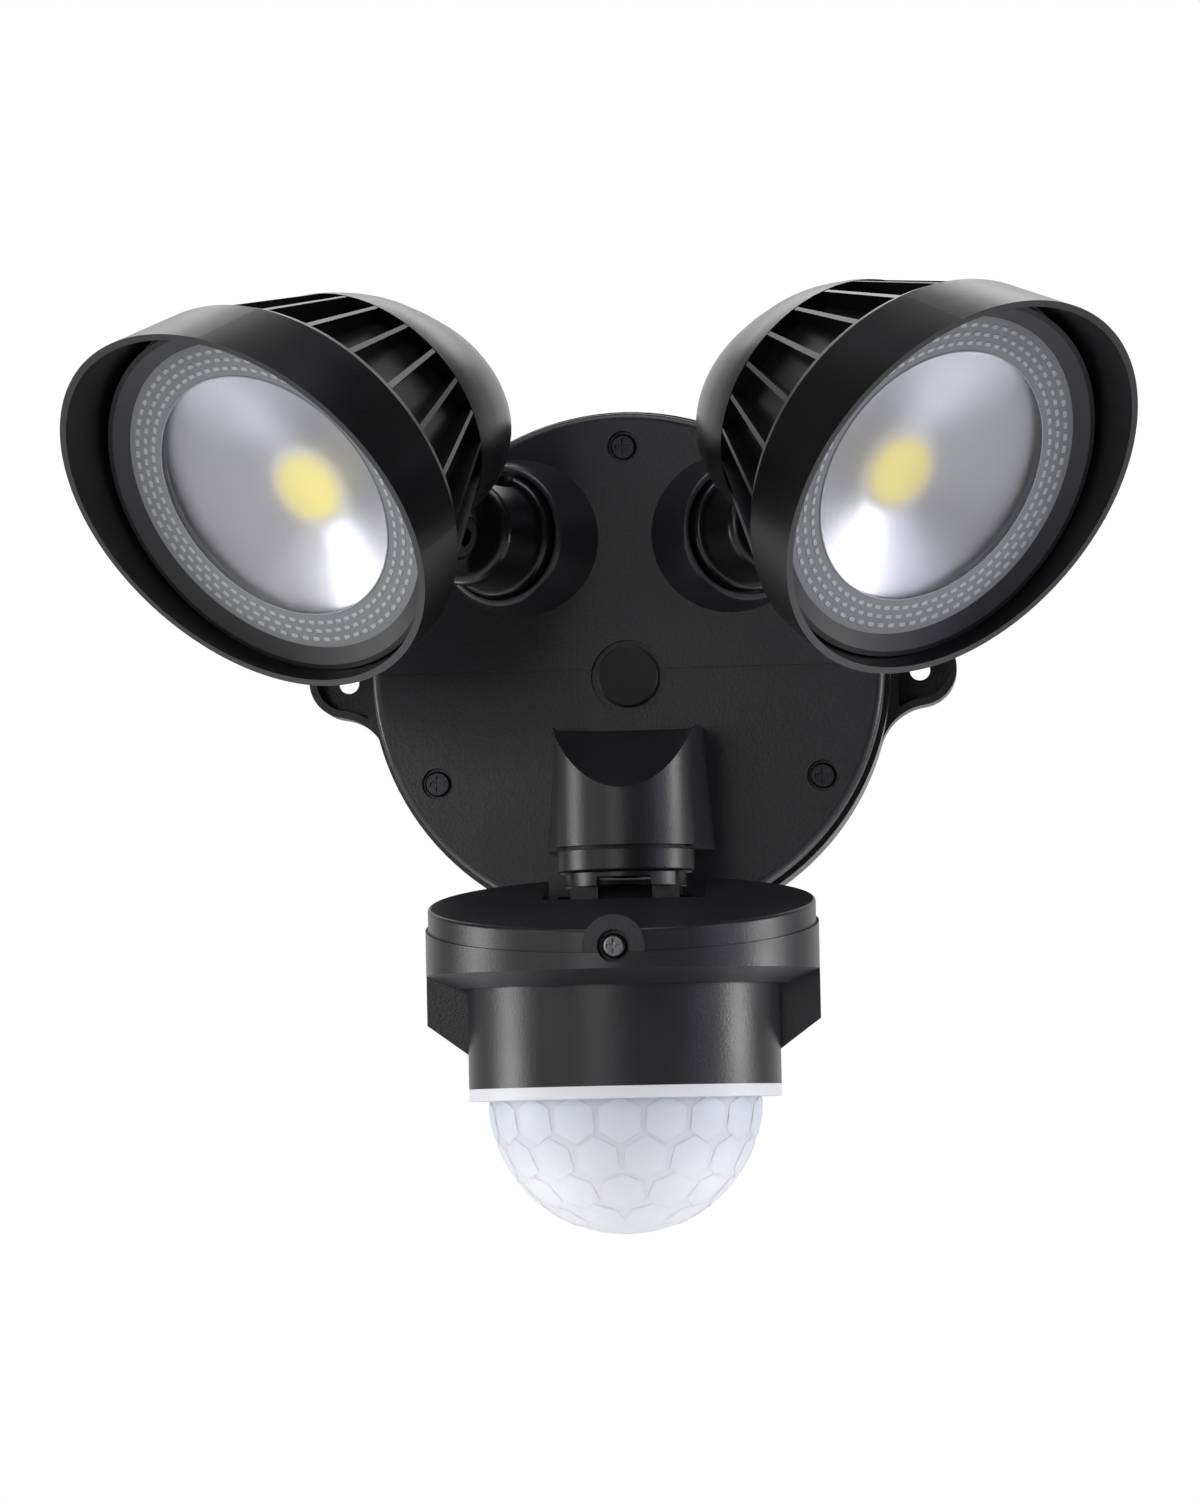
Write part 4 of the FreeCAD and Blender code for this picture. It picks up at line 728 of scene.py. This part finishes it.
# %% World
dark_room = 0.012            # what shiny surfaces mirror in front of the object
white_wall = 0.95            # and behind it
ambient = 0.5                # the even light that matt surfaces get
world = bpy.data.worlds.new("studio")
bpy.context.scene.world = world
world.use_nodes = True
sky = world.node_tree
sky.nodes.clear()
ray = add_node(sky, "LightPath")
way = add_node(sky, "TexCoord").outputs["Generated"]
depth_of_room = add_node(sky, "SeparateXYZ", {"Vector": way}).outputs["Y"]
behind = add_node(sky, "MapRange", {"Value": depth_of_room, "From Min": 0.45, "From Max": 0.97,
                                    "To Min": dark_room, "To Max": white_wall},
                  interpolation_type="SMOOTHSTEP")
mirrored = add_node(sky, "Mix", {"A": ambient, "B": behind.outputs["Result"],
                                 "Factor": ray.outputs["Is Glossy Ray"]})
seen = add_node(sky, "Math", {0: ray.outputs["Is Camera Ray"],
                              1: ray.outputs["Is Transmission Ray"]}, operation="MAXIMUM")
strength = add_node(sky, "Mix", {"A": mirrored.outputs["Result"], "B": 1.0,
                                 "Factor": seen.outputs["Value"]})
background = add_node(sky, "Background", {"Color": (1, 1, 1, 1),
                                          "Strength": strength.outputs["Result"]})
add_node(sky, "OutputWorld", {"Surface": background.outputs["Background"]})
print("world nodes:", len(sky.nodes))

# %% [markdown]
# ## The soft boxes
# Narrow soft boxes beside the object draw the light bands on the drum, the socket and the heads,
# and a wide one above lights the tops. Two small ones low behind the object show in the
# reflectors, as soft patches beside the emitters. Point lamps would be simpler, but a black
# surface would mirror them as white dots.


# %% One soft box
def soft_box(name, place, look_at, width, height, power, colour):
    """A rectangular area lamp that faces a point and isn't in the picture itself."""
    data = bpy.data.lights.new(name, "AREA")
    data.shape = "RECTANGLE"
    data.size = width
    data.size_y = height
    data.energy = power
    data.color = linear(colour)[:3]
    lamp = bpy.data.objects.new(name, data)
    bpy.context.scene.collection.objects.link(lamp)
    lamp.location = place
    lamp.rotation_euler = (Vector(look_at) - Vector(place)).to_track_quat("-Z", "Y").to_euler()
    lamp.visible_camera = False


# %% Soft boxes
middle = (0, -0.08, -0.02)
left_dish = (-0.07, -0.13, 0.03)
right_dish = (0.07, -0.13, 0.03)
soft_boxes = (               # name, place, faces, width and height in metres, watts, colour
    ("left box", (-0.75, -0.75, 0.3), middle, 0.22, 0.6, 1.6, "#f4f4f0"),
    ("left edge box", (-1.05, -0.1, -0.08), middle, 0.32, 0.26, 3.6, "#ffffff"),
    ("right box", (0.95, -0.55, 0.3), middle, 0.3, 0.7, 2.0, "#dcdcf4"),
    ("right edge box", (1.05, -0.02, -0.05), middle, 0.32, 0.26, 3.6, "#ffffff"),
    ("low left box", (-0.38, 0.1, -0.5), left_dish, 0.12, 0.12, 0.4, "#f4f6ff"),
    ("low right box", (0.4, 0.1, -0.48), right_dish, 0.12, 0.12, 0.4, "#f4f6ff"),
    ("front box", (-0.45, -1.6, 0.1), middle, 0.5, 0.5, 3.0, "#ffffff"),
    ("top box", (0.0, -0.25, 0.9), middle, 0.9, 0.5, 4.5, "#f4f4ff"),
    ("back top box", (0.0, 0.9, 0.75), middle, 1.4, 0.3, 2.5, "#ffffff"))
for box in soft_boxes:
    soft_box(*box)
print("soft boxes:", len(soft_boxes), "with", round(sum(box[5] for box in soft_boxes), 1), "watts")

# %% [markdown]
# ## The floor
# A pale floor lies well below the hanging light. It could end in a curved backdrop, but the world
# is white already. It is white where the camera looks, so the picture ends in white, and it still
# catches a soft shadow.

# %% Floor
floor_drop = 0.45            # below the lowest point of the object
floor_size = 12
bpy.ops.object.select_all(action="DESELECT")
bpy.ops.mesh.primitive_plane_add(size=floor_size, location=(0, 0, size_at_load[0][2] - floor_drop))
floor = bpy.context.object
floor.name = "floor"
floor_material, floor_tree, floor_shader = new_material("pale studio floor")
floor_shader.inputs["Base Color"].default_value = linear("#f2f2f2")
floor_shader.inputs["Roughness"].default_value = 0.8
glow = add_node(floor_tree, "Emission", {"Color": (1, 1, 1, 1), "Strength": 1.0})
floor_ray = add_node(floor_tree, "LightPath")
floor_mix = add_node(floor_tree, "MixShader", {0: floor_ray.outputs["Is Camera Ray"],
                                               1: floor_shader.outputs["BSDF"],
                                               2: glow.outputs["Emission"]})
floor_tree.links.new(floor_mix.outputs["Shader"],
                     floor_tree.nodes["Material Output"].inputs["Surface"])
floor.data.materials.append(floor_material)
print("floor at", round(floor.location.z, 3))
